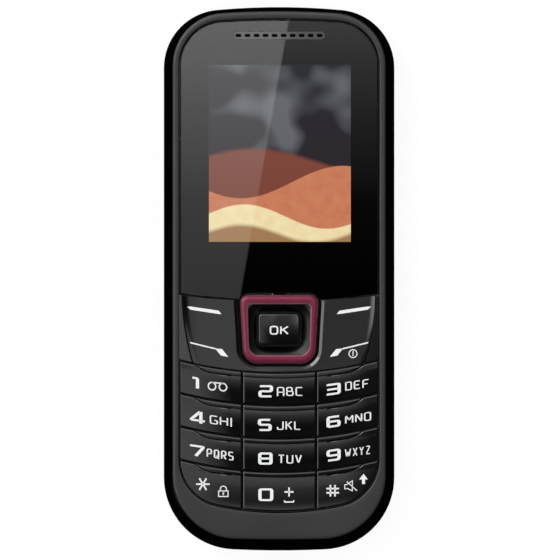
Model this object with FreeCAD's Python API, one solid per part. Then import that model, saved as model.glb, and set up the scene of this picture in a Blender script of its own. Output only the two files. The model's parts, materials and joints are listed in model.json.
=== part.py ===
import FreeCAD, Part
import math
import os
from collections import namedtuple

# A bar phone with a keypad, lying on its back. Millimetres.
# X runs to the right of the screen, Y towards the earpiece, Z out of the screen.
# The origin is the middle of the outline, on the flat back.

V = FreeCAD.Vector

# Driving sizes of the whole phone
WIDTH = 45.6
LENGTH = 107.5
FACE_TOP = 13.0        # rim and chin of the front housing
PARTING = 11.0         # seam between the front and rear housings
COVER_SEAM = 2.4       # seam between the rear housing and the battery cover
SEAM_GAP = 0.05
WALL = 1.0

# An outline has straight sides, round corners and gently bowed ends
Outline = namedtuple("Outline", "half top_corner top_bow top low_corner low_bow low")
SHELL = Outline(WIDTH / 2, 11.5, 135.0, LENGTH / 2, 14.3, 187.0, -LENGTH / 2)
FACE = Outline(21.0, 10.4, 173.0, 52.8, 12.6, 324.0, -51.4)
FIELD = Outline(19.5, 8.6, 178.0, 51.05, 9.2, 59.7, -45.85)
FIELD_GAP = 0.3        # round the window and the keys
RIM_BEVEL = 0.4
RIM_INNER_BEVEL = 0.2

# Height and inset of each section of the rounded body below the seam
BODY_SECTIONS = [(0.0, 4.6), (0.8, 2.6), (2.4, 1.1), (4.8, 0.2), (8.2, 0.0)]
SHOULDER = 9.7         # height where the side has turned part of the way in to the face
SHOULDER_SHARE = 0.4

# Window, mask and display
WINDOW_TOP = 12.8
WINDOW_THICK = 1.0
MASK_THICK = 0.1
WINDOW_EDGE = 0.15
SHELF_TOP = WINDOW_TOP - WINDOW_THICK - MASK_THICK
WINDOW_BOW = 145.0     # bowed lower edge of the window
WINDOW_LOW = -4.41     # its lowest point
LINE_GAP = 0.2
PICTURE = (28.1, 35.1)
PICTURE_Y = 24.7
MODULE = (34.0, 44.0)
MODULE_Y = 23.0
PANEL_THICK = 1.5

# Earpiece slot
EAR_Y = 48.0
EAR_SLOT = (18.0, 1.5)
EAR_HOLES = 10
EAR_PITCH = 1.78
EAR_HOLE = (1.18, 0.62)
EAR_HOLE_CORNER = 0.2

# Receiver under it
RECEIVER = (13.0, 5.6)
RECEIVER_Y = 48.2
RECEIVER_CORNER = 1.8

# Number keys: the rows bow down in the middle, and so do the raised bars on them
ROW_BOW = 80.0
ROW_LINES = [-18.53, -24.99, -31.52, -38.10]
COLUMN_LINE = 7.3
KEY_CROWN = 250.0
KEY_TOP = 13.4
KEY_FOOT = 10.25
BAR_WIDTH = 1.13
BAR_RISE = 0.42
BAR_STRAIGHT = 13.6    # the bar starts to turn up here, on each side
BAR_TURN = 6.0
KEY_NAMES = [["key_1", "key_2", "key_3"], ["key_4", "key_5", "key_6"],
             ["key_7", "key_8", "key_9"], ["key_star", "key_0", "key_hash"]]

# Function key plate, a U round the navigation ring
PLATE_BOW = 50.7       # bowed outer sides
PLATE_CENTRE = (31.77, -2.23)
PLATE_TOP = 13.25
PLATE_FOOT = 10.7
CORNER_TOP = 12.75
WELL_BEVEL = 0.75
WELL_BEVEL_LOW = 12.4

# Navigation ring, dish and middle key
NAV_Y = -9.94
RING_TOP = 13.8
RING_FOOT = 10.7
RING_GAP = 0.3
RING_TOP_Y = -3.19
RING_LOW_Y = -16.67
RING_HALF = (7.82, 7.0)       # half width at the top and at the bottom
RING_CORNERS = (1.7, 2.9)
RING_ROUND = 0.8
RING_STEPS = 3         # flats that make up the rounding
RING_INNER_BEVEL = 0.3
BORE_TOP_Y = -5.21
BORE_LOW_Y = -15.07
BORE_HALF = (6.2, 5.9)
BORE_CORNERS = (0.8, 2.0)
DISH_RIM = 12.7
DISH_LOW = 11.9
DISH_FOOT = 11.2
DISH_SPREAD = 1.1
OK_SIZE = (8.28, 6.24)
OK_CORNER = 0.9
OK_TOP = 13.15
OK_CROWN = 40.0
OK_GAP = 0.35
RING_WEB = (10.4, 8.4)
PLATE_WEB = (19.2, 13.4)
PLATE_WEB_Y = -11.3
WEB_HOLE_GAP = 0.45
WEB_LOW = 10.15
WEB_THICK = 0.25

# Stack of the inner pieces, by height
FLOOR_LOW = 6.0
FLOOR_TOP = 6.5
BOARD_LOW = 8.0
BOARD_TOP = 9.0
DOME = (2.0, 1.0, 0.3)  # radius at the board, radius of the crest, height
MAT_LOW = 9.4
MAT_TOP = 9.9
CORE_LOW = 1.3
POCKET_LOW = 2.6
CORE_INSET = 3.5
COVER_INSET = 3.3
CAVITY_INSET = 0.5
SKIRT_WALL = 0.5
LIP = 9.95

# Battery and its well
BATTERY = (34.0, 50.0, 4.6)
BATTERY_LOW = 1.2
BATTERY_Y = 4.0
WELL_GAP = 0.3
POCKET_CORNER = 3.5
TOP_POCKET = (31.0, 50.3)
LOW_POCKET = (-23.0, -49.4)
POCKET_HALF = 17.6

# Card, contacts, shield can and microphone
CAN = (30.0, 24.0)
CAN_Y = -7.5
CAN_WALL = 0.3
SIM_AT = (-2.0, 18.0)
SIM_CARD = (25.0, 15.0, 0.76)
SIM_LOW = 6.9
SIM_CORNER = 3.0
SIM_HOLDER = (27.4, 17.4)
CONTACTS_AT = (8.0, 31.2)
CONTACTS = (9.0, 3.6)
MIC_AT = (6.6, -48.4)

# Housing screws
BOSSES = [(-12.5, 47.3), (12.5, 47.3), (-11.0, -48.0), (11.0, -48.0)]
BOSS_RADIUS = 1.85
SCREW_RADIUS = 0.7
SCREW_HEAD = (1.3, 0.9)
SCREW_END = 10.6

# Sockets, sound and vibration
JACK = V(6.0, 0.0, 5.6)
JACK_BORE = 1.8
JACK_DEPTH = 13.0
JACK_BODY = (6.2, 13.5, 4.6)
JACK_COLLAR = 2.3
JACK_MOUTH_Y = 52.7
USB_SIZE = (7.5, 5.6, 2.55)
USB_Z = 6.7
USB_MOUTH_Y = -53.2
USB_WALL = 0.3
SPEAKER = (18.0, 13.0, 3.1)
SPEAKER_AT = (5.5, -36.0)
SPEAKER_LOW = 1.5
SOUND_SLOTS = 5
SOUND_SLOT = (12.0, 1.1)
SOUND_PITCH = 2.2
MOTOR_RADIUS = 2.0
MOTOR_X = (-16.2, -8.4)
MOTOR_YZ = (-36.0, 5.1)
WEIGHT_RADIUS = 2.1
WEIGHT_X = (-7.9, -5.2)
SHAFT_RADIUS = 0.4
NAIL_SLOT = (9.0, 0.8, 0.7)

COLLAR_GAP = 0.05
FAR = 200.0            # longer than the phone, for cutting tools


def grown(outline, amount):
    """The outline moved outwards by the same amount all round."""
    o = outline
    return Outline(o.half + amount, o.top_corner + amount, o.top_bow + amount, o.top + amount,
                   o.low_corner + amount, o.low_bow + amount, o.low - amount)


def between(first, second, share):
    """An outline part of the way from one to another."""
    return Outline(*[a + (b - a) * share for a, b in zip(first, second)])


def corner_points(half, corner, bow, reach):
    """Where a side ends, the middle of the corner's arc and where the bowed end starts."""
    bow_y = reach - bow
    x = half - corner
    y = bow_y + math.sqrt((bow - corner) ** 2 - x ** 2)
    turn = math.atan2(y - bow_y, x)
    side = (half, y)
    middle = (x + corner * math.cos(turn / 2), y + corner * math.sin(turn / 2))
    end = (bow * math.cos(turn), bow_y + bow * math.sin(turn))
    return side, middle, end


def arc(first, middle, last, z):
    """An arc through three plan points."""
    points = [V(x, y, z) for x, y in (first, middle, last)]
    return Part.Arc(*points).toShape()


def outline_wire(o, z):
    """The closed wire of an outline at height z."""
    side_t, mid_t, end_t = corner_points(o.half, o.top_corner, o.top_bow, o.top)
    side_l, mid_l, end_l = corner_points(o.half, o.low_corner, o.low_bow, -o.low)

    def left(point):
        return (-point[0], point[1])

    def down(point):
        return (point[0], -point[1])

    def both(point):
        return (-point[0], -point[1])

    edges = [
        Part.makeLine(V(*down(side_l), z), V(*side_t, z)),
        arc(side_t, mid_t, end_t, z),
        arc(end_t, (0.0, o.top), left(end_t), z),
        arc(left(end_t), left(mid_t), left(side_t), z),
        Part.makeLine(V(*left(side_t), z), V(*both(side_l), z)),
        arc(both(side_l), both(mid_l), both(end_l), z),
        arc(both(end_l), (0.0, o.low), down(end_l), z),
        arc(down(end_l), down(mid_l), down(side_l), z),
    ]
    return Part.Wire(edges)


def raised(wire, height):
    """A wire filled and extruded upwards."""
    return Part.Face(wire).extrude(V(0, 0, height))


def prism(outline, low, high):
    """A straight block of an outline."""
    return raised(outline_wire(outline, low), high - low)


def block(x, y, size_x, size_y, low, high):
    """A box centred in plan on x, y."""
    corner = V(x - size_x / 2, y - size_y / 2, low)
    return Part.makeBox(size_x, size_y, high - low, corner)


def drum(x, y, radius, low, high):
    """An upright cylinder."""
    return Part.makeCylinder(radius, high - low, V(x, y, low))


def ring_of_points(x, y, radius, z, sides):
    """The corners of an upright regular polygon."""
    turn = 2 * math.pi / sides
    return [V(x + radius * math.cos(i * turn), y + radius * math.sin(i * turn), z) for i in range(sides)]


def post(x, y, radius, low, high, sides=10):
    """An upright post with flat sides, for what is small and repeated."""
    corners = ring_of_points(x, y, radius, low, sides)
    return raised(Part.makePolygon(corners + corners[:1]), high - low)


def cut_block(x, y, size_x, size_y, corner, low, high):
    """A box with its four upright edges cut off at 45 degrees."""
    a = size_x / 2
    b = size_y / 2
    across = [(a - corner, -b), (a, corner - b), (a, b - corner), (a - corner, b)]
    points = across + [(-px, -py) for px, py in across]
    corners = [V(x + px, y + py, low) for px, py in points]
    return raised(Part.makePolygon(corners + corners[:1]), high - low)


def rounded_wire(points, radii, z):
    """A closed polygon, listed anticlockwise, with each corner rounded by a tangent arc."""
    count = len(points)
    edges = []
    starts = []
    ends = []
    for i, (point, radius) in enumerate(zip(points, radii)):
        here = V(*point, z)
        back = (V(*points[i - 1], z) - here).normalize()
        ahead = (V(*points[(i + 1) % count], z) - here).normalize()
        half_angle = back.getAngle(ahead) / 2
        run = radius / math.tan(half_angle)
        centre = here + (back + ahead).normalize() * (radius / math.sin(half_angle))
        first = here + back * run
        last = here + ahead * run
        middle = centre + (here - centre).normalize() * radius
        starts.append(first)
        ends.append(last)
        edges.append(Part.Arc(first, middle, last).toShape())
    lines = [Part.makeLine(ends[i], starts[(i + 1) % count]) for i in range(count)]
    ordered = []
    for corner, line in zip(edges, lines):
        ordered += [corner, line]
    return Part.Wire(ordered)


def rounded_block(x, y, size_x, size_y, radius, low, high):
    """A box with its four upright edges rounded."""
    a = size_x / 2
    b = size_y / 2
    points = [(x - a, y - b), (x + a, y - b), (x + a, y + b), (x - a, y + b)]
    return raised(rounded_wire(points, [radius] * 4, low), high - low)


def capsule(x, y, length, width, low, high):
    """A slot-shaped block, lying along X."""
    return rounded_block(x, y, length, width, width / 2 - 0.001, low, high)


def edges_where(solid, chosen):
    """The edges whose two ends and middle pass a test."""
    picked = []
    for edge in solid.Edges:
        middle = edge.valueAt((edge.FirstParameter + edge.LastParameter) / 2)
        points = [v.Point for v in edge.Vertexes] + [middle]
        if all(chosen(p) for p in points):
            picked.append(edge)
    return picked


def rounded(solid, radius, chosen):
    """The solid with the chosen edges rounded."""
    return solid.makeFillet(radius, edges_where(solid, chosen))


def bevelled(solid, size, chosen):
    """The solid with the chosen edges bevelled."""
    return solid.makeChamfer(size, edges_where(solid, chosen))


def at_height(z):
    """A test for edges that lie at height z."""
    return lambda p: abs(p.z - z) < 1e-4


def crown(top, radius):
    """The long cylinder along Y whose top is the gentle crown of the keys."""
    return Part.makeCylinder(radius, FAR, V(0, -FAR / 2, top - radius), V(0, 1, 0))


def body_form():
    """The rounded body from the flat back to the seam with the front."""
    wires = [outline_wire(grown(SHELL, -inset), z) for z, inset in BODY_SECTIONS]
    wires.append(outline_wire(between(SHELL, FACE, SHOULDER_SHARE), SHOULDER))
    wires.append(outline_wire(FACE, PARTING))
    return Part.makeLoft(wires, True, True)


def layer(shape, low, high):
    """The part of a shape between two heights."""
    return shape.common(block(0, 0, FAR, FAR, low, high))


def ring_wire(z, extra=0.0):
    """Outer edge of the navigation ring, moved outwards by extra."""
    top, low = RING_TOP_Y + extra, RING_LOW_Y - extra
    wide, narrow = RING_HALF[0] + extra, RING_HALF[1] + extra
    points = [(-narrow, low), (narrow, low), (wide, top), (-wide, top)]
    radii = [RING_CORNERS[1] + extra] * 2 + [RING_CORNERS[0] + extra] * 2
    return rounded_wire(points, radii, z)


def bore_wire(z, extra=0.0):
    """Inner edge of the navigation ring, moved outwards by extra."""
    top, low = BORE_TOP_Y + extra, BORE_LOW_Y - extra
    wide, narrow = BORE_HALF[0] + extra, BORE_HALF[1] + extra
    points = [(-narrow, low), (narrow, low), (wide, top), (-wide, top)]
    radii = [BORE_CORNERS[1] + extra] * 2 + [BORE_CORNERS[0] + extra] * 2
    return rounded_wire(points, radii, z)


def jack_hole(radius, depth, outside=0.0):
    """A cylinder that runs in from the mouth of the headset socket, starting outside it."""
    start = V(JACK.x, JACK_MOUTH_Y + outside, JACK.z)
    return Part.makeCylinder(radius, depth + outside, start, V(0, -1, 0))


def usb_block(extra, mouth_y, depth):
    """A rounded block that runs in from the bottom end at the charging port."""
    width = USB_SIZE[0] + 2 * extra
    height = USB_SIZE[2] + 2 * extra
    shape = Part.makeBox(width, depth, height, V(-width / 2, mouth_y, USB_Z - height / 2))
    return bevelled(shape, height * 0.25, lambda p: abs(abs(p.x) - width / 2) < 1e-4)


def bosses(radius, low, high):
    """One upright post at each screw."""
    return Part.makeCompound([post(x, y, radius, low, high) for x, y in BOSSES])


def battery_well():
    """The pocket that the battery drops into from the back."""
    return block(0, BATTERY_Y, BATTERY[0] + 2 * WELL_GAP, BATTERY[1] + 2 * WELL_GAP, 0.0, FLOOR_LOW)


def end_pocket(limits):
    """A pocket beyond one end of the battery, open to the board above."""
    low_y, high_y = sorted(limits)
    return cut_block(0, (low_y + high_y) / 2, 2 * POCKET_HALF, high_y - low_y,
                     POCKET_CORNER, POCKET_LOW, FLOOR_TOP + 0.1)


def rear_housing(form):
    """Side band, floor, battery well, end pockets and screw bosses, with the openings for both sockets."""
    band = layer(form, COVER_SEAM + SEAM_GAP, PARTING)
    core = prism(grown(SHELL, -CORE_INSET), CORE_LOW, COVER_SEAM + 0.5)
    shape = band.fuse(core)
    shape = shape.cut(prism(grown(FACE, -CAVITY_INSET), FLOOR_TOP, PARTING + 1))
    shape = shape.cut(battery_well())
    shape = shape.cut(end_pocket(TOP_POCKET)).cut(end_pocket(LOW_POCKET))
    shape = shape.cut(sim_opening())
    shape = shape.cut(contact_block(0.1))
    shape = shape.fuse(bosses(BOSS_RADIUS, CORE_LOW, BOARD_LOW))
    shape = shape.cut(bosses(SCREW_RADIUS, 0.0, BOARD_LOW))
    shape = shape.cut(bosses(SCREW_HEAD[0] + 0.15, 0.0, CORE_LOW + SCREW_HEAD[1] + 0.1))
    shape = shape.cut(jack_hole(JACK_COLLAR + COLLAR_GAP, 4.0, 3.0))
    shape = shape.cut(Part.makeBox(JACK_BODY[0] + 0.2, 10.0, JACK_BODY[2] + 0.2,
                                   V(JACK.x - JACK_BODY[0] / 2 - 0.1, 41.8, JACK.z - JACK_BODY[2] / 2 - 0.1)))
    shape = shape.cut(usb_block(0.15, USB_MOUTH_Y - 1.5, 6.0))
    speaker_hole = cut_block(*SPEAKER_AT, SPEAKER[0] + 0.2, SPEAKER[1] + 0.2, 1.0, 0.0, 4.0)
    shape = shape.cut(speaker_hole)
    microphone_hole = Part.makeCylinder(0.5, 6.0, V(MIC_AT[0], -55.0, BOARD_LOW - 0.6), V(0, 1, 0))
    return shape.cut(microphone_hole)


def battery_cover(form):
    """Shallow back cover, with sound slots and a slot for a fingernail."""
    outer = layer(form, 0.0, COVER_SEAM)
    cover = outer.cut(prism(grown(SHELL, -COVER_INSET), WALL, COVER_SEAM + 1))
    for i in range(SOUND_SLOTS):
        y = SPEAKER_AT[1] + (i - (SOUND_SLOTS - 1) / 2) * SOUND_PITCH
        cover = cover.cut(capsule(SPEAKER_AT[0], y, *SOUND_SLOT, -1.0, WALL + 0.5))
    width, depth, height = NAIL_SLOT
    slot = block(0, SHELL.low + 1.1, width, 2.0 * depth, COVER_SEAM - height, COVER_SEAM + 1)
    return cover.cut(slot)


def window_line(extra):
    """The disc above the window's lower line, moved down by extra."""
    return drum(0.0, WINDOW_LOW + WINDOW_BOW, WINDOW_BOW + extra, 0.0, 20.0)


def row_disc(lowest, extra):
    """The disc above a row line, moved down by extra."""
    return drum(0.0, lowest + ROW_BOW, ROW_BOW + extra, 0.0, 20.0)


def plate_sides(extra):
    """The lens shape between the two bowed sides of the function key plate."""
    x, y = PLATE_CENTRE
    right = drum(-x, y, PLATE_BOW + extra, 0.0, 20.0)
    left = drum(x, y, PLATE_BOW + extra, 0.0, 20.0)
    return right.common(left)


def front_housing():
    """Rim, chin, window shelf and the small corners beside the function keys."""
    half_gap = LINE_GAP / 2
    shape = prism(FACE, PARTING + SEAM_GAP, FACE_TOP)
    shape = bevelled(shape, RIM_BEVEL, at_height(FACE_TOP))
    opening = prism(grown(FIELD, FIELD_GAP), 0.0, 20.0)
    shape = shape.cut(opening)
    inner = FIELD.half + FIELD_GAP + 0.01
    shape = bevelled(shape, RIM_INNER_BEVEL, lambda p: at_height(FACE_TOP)(p) and abs(p.x) < inner)
    shelf = prism(grown(FIELD, FIELD_GAP + 0.3), PARTING + SEAM_GAP, SHELF_TOP)
    shelf = shelf.common(window_line(-half_gap))
    corners = prism(grown(FIELD, FIELD_GAP + 0.3), PARTING + SEAM_GAP, CORNER_TOP)
    corners = corners.cut(window_line(half_gap)).common(row_disc(ROW_LINES[0], -half_gap))
    corners = corners.cut(plate_sides(LINE_GAP)).common(crown(PLATE_TOP, KEY_CROWN))
    shape = shape.fuse([shelf, corners])
    skirt = prism(grown(FIELD, FIELD_GAP + SKIRT_WALL), LIP, PARTING + 0.5).cut(opening)
    shape = shape.fuse(skirt)
    shape = shape.cut(block(0, MODULE_Y, MODULE[0] + 0.4, MODULE[1] + 0.4, 0.0, 20.0))
    shape = shape.cut(raised(ring_wire(0.0, RING_GAP + 0.2), 20.0))
    shape = shape.cut(receiver_block(0.15))
    posts = bosses(BOSS_RADIUS, BOARD_TOP, PARTING + 0.5)
    shape = shape.fuse(posts)
    shape = shape.cut(bosses(SCREW_RADIUS, 0.0, SCREW_END + 0.1))
    return shape.removeSplitter()


def display_window():
    """Clear cover over the display, notched for the navigation ring and slotted for the earpiece."""
    shape = prism(FIELD, WINDOW_TOP - WINDOW_THICK, WINDOW_TOP)
    shape = shape.common(window_line(-LINE_GAP / 2))
    shape = shape.cut(raised(ring_wire(0.0, RING_GAP), 20.0))
    shape = bevelled(shape, WINDOW_EDGE, at_height(WINDOW_TOP))
    return shape.cut(capsule(0, EAR_Y, EAR_SLOT[0] + 0.1, EAR_SLOT[1] + 0.1, 0.0, 20.0))


def window_mask():
    """Black adhesive frame that holds the window and hides the edge of the display."""
    shape = prism(grown(FIELD, -0.1), SHELF_TOP, SHELF_TOP + MASK_THICK)
    shape = shape.common(window_line(-LINE_GAP / 2 - 0.1))
    shape = shape.cut(raised(ring_wire(0.0, RING_GAP + 0.2), 20.0))
    shape = shape.cut(block(0, PICTURE_Y, PICTURE[0] + 0.2, PICTURE[1] + 0.2, 0.0, 20.0))
    return shape.cut(capsule(0, EAR_Y, EAR_SLOT[0] + 0.3, EAR_SLOT[1] + 0.3, 0.0, 20.0))


def earpiece_grille():
    """Slot-shaped insert with a row of small sound holes."""
    low = SHELF_TOP + 0.02
    shape = capsule(0, EAR_Y, *EAR_SLOT, low, WINDOW_TOP - 0.05)
    tray = capsule(0, EAR_Y, EAR_SLOT[0] - 0.5, EAR_SLOT[1] - 0.5, WINDOW_TOP - 0.25, 20.0)
    holes = []
    for i in range(EAR_HOLES):
        x = (i - (EAR_HOLES - 1) / 2) * EAR_PITCH
        holes.append(cut_block(x, EAR_Y, *EAR_HOLE, EAR_HOLE_CORNER, 0.0, 20.0))
    return shape.cut([tray] + holes)


def receiver_block(extra):
    """Long block of the earpiece's receiver, grown by extra."""
    length, width = RECEIVER
    return cut_block(0, RECEIVER_Y, length + 2 * extra, width + 2 * extra, RECEIVER_CORNER,
                     BOARD_TOP + 0.1 - extra, SHELF_TOP - 0.1 + extra)


def earpiece_receiver():
    """Small sounder under the earpiece grille, with a raised middle."""
    length, width = RECEIVER
    groove_low = SHELF_TOP - 0.35
    shape = receiver_block(0.0)
    groove = cut_block(0, RECEIVER_Y, length - 1.6, width - 1.6, RECEIVER_CORNER - 0.4, groove_low, 20.0)
    dome = cut_block(0, RECEIVER_Y, length - 3.4, width - 3.0, RECEIVER_CORNER - 0.9, groove_low, SHELF_TOP - 0.15)
    return shape.cut(groove).fuse(dome)


def row_bar(lowest):
    """The raised bar of one row in plan, bowed like the row line and turned up at both ends."""
    centre = V(0, lowest + ROW_BOW, 0)
    inner = ROW_BOW + LINE_GAP / 2
    outer = inner + BAR_WIDTH
    lean = math.asin(BAR_STRAIGHT / outer)
    shift = (inner + outer) / 2 - BAR_TURN
    turn = math.radians(50)

    def spot(middle, radius, angle):
        return (middle.x + radius * math.sin(angle), middle.y - radius * math.cos(angle))

    def half(side):
        pivot = centre + V(shift * math.sin(side * lean), -shift * math.cos(side * lean), 0)
        reach = BAR_WIDTH / 2
        far = side * (lean + turn)
        mid = side * (lean + turn / 2)
        outside = [spot(pivot, BAR_TURN + reach, a) for a in (side * lean, mid, far)]
        inside = [spot(pivot, BAR_TURN - reach, a) for a in (side * lean, mid, far)]
        return outside, inside

    right_out, right_in = half(1)
    left_out, left_in = half(-1)
    z = MAT_TOP
    edges = [
        arc(left_out[0], (0, centre.y - outer), right_out[0], z),
        arc(*right_out, z),
        Part.makeLine(V(*right_out[2], z), V(*right_in[2], z)),
        arc(right_in[2], right_in[1], right_in[0], z),
        arc(right_in[0], (0, centre.y - inner), left_in[0], z),
        arc(*left_in, z),
        Part.makeLine(V(*left_in[2], z), V(*left_out[2], z)),
        arc(left_out[2], left_out[1], left_out[0], z),
    ]
    bar = raised(Part.Wire(Part.__sortEdges__(edges)), 10.0)
    return bar.common(crown(KEY_TOP + BAR_RISE, KEY_CROWN + BAR_RISE))


def number_keys():
    """Twelve crowned keys in four bowed rows, each with its piece of the row's raised bar."""
    keys = {}
    half_gap = LINE_GAP / 2
    field = prism(FIELD, KEY_FOOT, 20.0)
    columns = [(-30.0, -COLUMN_LINE - half_gap), (-COLUMN_LINE + half_gap, COLUMN_LINE - half_gap),
               (COLUMN_LINE + half_gap, 30.0)]
    for row, names in enumerate(KEY_NAMES):
        line = ROW_LINES[row]
        footprint = field.cut(row_disc(line, half_gap))
        if row + 1 < len(ROW_LINES):
            footprint = footprint.common(row_disc(ROW_LINES[row + 1], -half_gap))
        bar = row_bar(line)
        for (left, right), name in zip(columns, names):
            column = Part.makeBox(right - left, FAR, 20.0, V(left, -FAR / 2, 0))
            space = footprint.common(column)
            key = space.common(crown(KEY_TOP, KEY_CROWN))
            keys[name] = key.fuse(bar.common(space)).removeSplitter()
    return keys


def function_key_plate():
    """U-shaped plate of the four function keys, bevelled down to the navigation well."""
    half_gap = LINE_GAP / 2
    shape = prism(FIELD, PLATE_FOOT, 20.0).common(plate_sides(0.0))
    shape = shape.cut(window_line(half_gap)).common(row_disc(ROW_LINES[0], -half_gap))
    shape = shape.common(crown(PLATE_TOP, KEY_CROWN))
    well = raised(ring_wire(0.0, RING_GAP), 20.0)
    rise = PLATE_TOP + 0.1 - WELL_BEVEL_LOW
    spread = WELL_BEVEL * rise / (PLATE_TOP - WELL_BEVEL_LOW)
    bevel = Part.makeLoft([ring_wire(WELL_BEVEL_LOW, RING_GAP),
                           ring_wire(WELL_BEVEL_LOW + rise, RING_GAP + spread)], True, True)
    return shape.cut(well).cut(bevel)


def navigation_ring():
    """Rounded ring with a raised crest, wider at the top than at the bottom."""
    wires = [ring_wire(RING_FOOT)]
    for i in range(RING_STEPS + 1):
        turn = math.pi / 2 * i / RING_STEPS
        inset = RING_ROUND * (1 - math.cos(turn))
        wires.append(ring_wire(RING_TOP - RING_ROUND * (1 - math.sin(turn)), -inset))
    outer = Part.makeLoft(wires, True, True)
    shape = outer.cut(raised(bore_wire(0.0), 20.0))

    def inner_rim(p):
        return at_height(RING_TOP)(p) and BORE_LOW_Y - 0.01 < p.y < BORE_TOP_Y + 0.01

    return bevelled(shape, RING_INNER_BEVEL, inner_rim)


def ok_outline(extra, low, high):
    """Block of the middle key, grown by extra."""
    return rounded_block(0, NAV_Y, OK_SIZE[0] + 2 * extra, OK_SIZE[1] + 2 * extra, OK_CORNER + extra, low, high)


def ok_wire(extra, z):
    """Plan wire of the middle key, grown by extra."""
    a = OK_SIZE[0] / 2 + extra
    b = OK_SIZE[1] / 2 + extra
    points = [(-a, NAV_Y - b), (a, NAV_Y - b), (a, NAV_Y + b), (-a, NAV_Y + b)]
    return rounded_wire(points, [OK_CORNER + extra] * 4, z)


def navigation_dish():
    """Dark dish inside the ring, falling to the middle key."""
    shape = raised(bore_wire(DISH_FOOT), DISH_RIM - DISH_FOOT)
    foot = OK_GAP + 0.1
    bowl = Part.makeLoft([ok_wire(foot, DISH_LOW), ok_wire(foot + DISH_SPREAD, DISH_RIM)], True, True)
    return shape.cut(bowl).cut(ok_outline(OK_GAP, 0.0, 20.0))


def middle_key():
    """Crowned rectangular key in the dish."""
    shape = ok_outline(0.0, KEY_FOOT, OK_TOP + 1)
    return shape.common(crown(OK_TOP, OK_CROWN))


def web(y, size, hole):
    """A thin flexible frame under a key that tilts both ways."""
    frame = cut_block(0, y, *size, 0.6, WEB_LOW, WEB_LOW + WEB_THICK)
    return frame.cut(hole)


def dome_spots():
    """Centres of the switch domes: one under each key and four round each tilting key."""
    spots = [(0.0, NAV_Y)]
    for line, following in zip(ROW_LINES, ROW_LINES[1:] + [-45.0]):
        middle = (line + following) / 2
        for x in (-13.4, 0.0, 13.4):
            spots.append((x, middle + x * x / (2 * ROW_BOW)))
    spots += [(-6.9, NAV_Y), (6.9, NAV_Y), (0.0, NAV_Y + 5.7), (0.0, NAV_Y - 5.7)]
    spots += [(x, y) for x in (-13.5, 13.5) for y in (-6.6, -14.0)]
    return spots


def dome(x, y, sides=8):
    """One domed disc, with flat sloping sides."""
    base, crest, height = DOME
    low = ring_of_points(x, y, base, BOARD_TOP, sides)
    high = ring_of_points(x, y, crest, BOARD_TOP + height, sides)
    rings = [low[::-1], high]
    rings += [[low[i - 1], low[i], high[i], high[i - 1]] for i in range(sides)]
    return Part.makeSolid(Part.makeShell([Part.Face(Part.makePolygon(r + r[:1])) for r in rings]))


def switch_domes():
    """Shallow metal domes on the board, under the keys."""
    return Part.makeCompound([dome(x, y) for x, y in dome_spots()])


def keypad_mat():
    """Silicone mat under all the keys, just clear of the domes."""
    shape = prism(grown(FIELD, -0.2), MAT_LOW, MAT_TOP)
    return shape.common(block(0, -26.0, 60.0, 45.0, 0, 20))


def keypad_lights():
    """Small light-emitting diodes between the domes."""
    spots = [(x, y) for x in (-9.6, 9.6) for y in (-17.2, -28.0, -40.5)]
    return Part.makeCompound([block(x, y, 1.6, 0.8, BOARD_TOP, BOARD_TOP + 0.35) for x, y in spots])


def main_board():
    """Circuit board with notches for the screw bosses and round the end sockets."""
    shape = prism(grown(FACE, -1.4), BOARD_LOW, BOARD_TOP)
    return shape.cut(bosses(SCREW_RADIUS + 0.1, 0.0, 20.0))


def shield_can():
    """Pressed metal lid over the radio parts, on the back of the board."""
    low = FLOOR_TOP + 0.1
    length, width = CAN
    shape = cut_block(0, CAN_Y, length, width, 0.8, low, BOARD_LOW)
    shape = bevelled(shape, CAN_WALL, at_height(low))
    return shape.cut(cut_block(0, CAN_Y, length - 2 * CAN_WALL, width - 2 * CAN_WALL, 0.6, low + CAN_WALL, BOARD_LOW))


def sim_opening():
    """Opening in the floor of the battery well for the card holder."""
    return block(*SIM_AT, SIM_HOLDER[0] + 0.6, SIM_HOLDER[1] + 0.6, FLOOR_LOW - 0.5, FLOOR_TOP + 0.5)


def sim_card():
    """Subscriber card with one cut corner."""
    x, y = SIM_AT
    a, b = SIM_CARD[0] / 2, SIM_CARD[1] / 2
    cut = SIM_CORNER
    points = [(x - a, y - b), (x + a, y - b), (x + a, y + b - cut), (x + a - cut, y + b), (x - a, y + b)]
    wire = Part.makePolygon([V(px, py, SIM_LOW) for px, py in points + points[:1]])
    return raised(wire, SIM_CARD[2])


def sim_card_holder():
    """Metal cage that the card slides into, open to the battery well in the middle."""
    x, y = SIM_AT
    shape = block(x, y, *SIM_HOLDER, 6.55, BOARD_LOW)
    shape = shape.cut(block(x, y, SIM_CARD[0] + 0.4, SIM_CARD[1] + 0.4, 6.8, BOARD_LOW - 0.25))
    return shape.cut(block(x, y, 12.0, 11.0, 6.0, 6.85))


def contact_block(extra):
    """Block of the battery contacts, through the end wall of the well, grown by extra."""
    return block(*CONTACTS_AT, CONTACTS[0] + 2 * extra, CONTACTS[1] + 2 * extra, POCKET_LOW - extra, BOARD_LOW + extra)


def battery_contacts():
    """Plastic block with three spring contacts."""
    shape = contact_block(0.0)
    face = CONTACTS_AT[1] - CONTACTS[1] / 2
    for i in range(3):
        x = CONTACTS_AT[0] + (i - 1) * 2.6
        groove = Part.makeBox(1.4, 0.6, 2.2, V(x - 0.7, face, 3.2))
        blade = Part.makeBox(0.8, 0.5, 2.0, V(x - 0.4, face + 0.1, 3.3))
        shape = shape.cut(groove).fuse(blade)
    return shape


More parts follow.
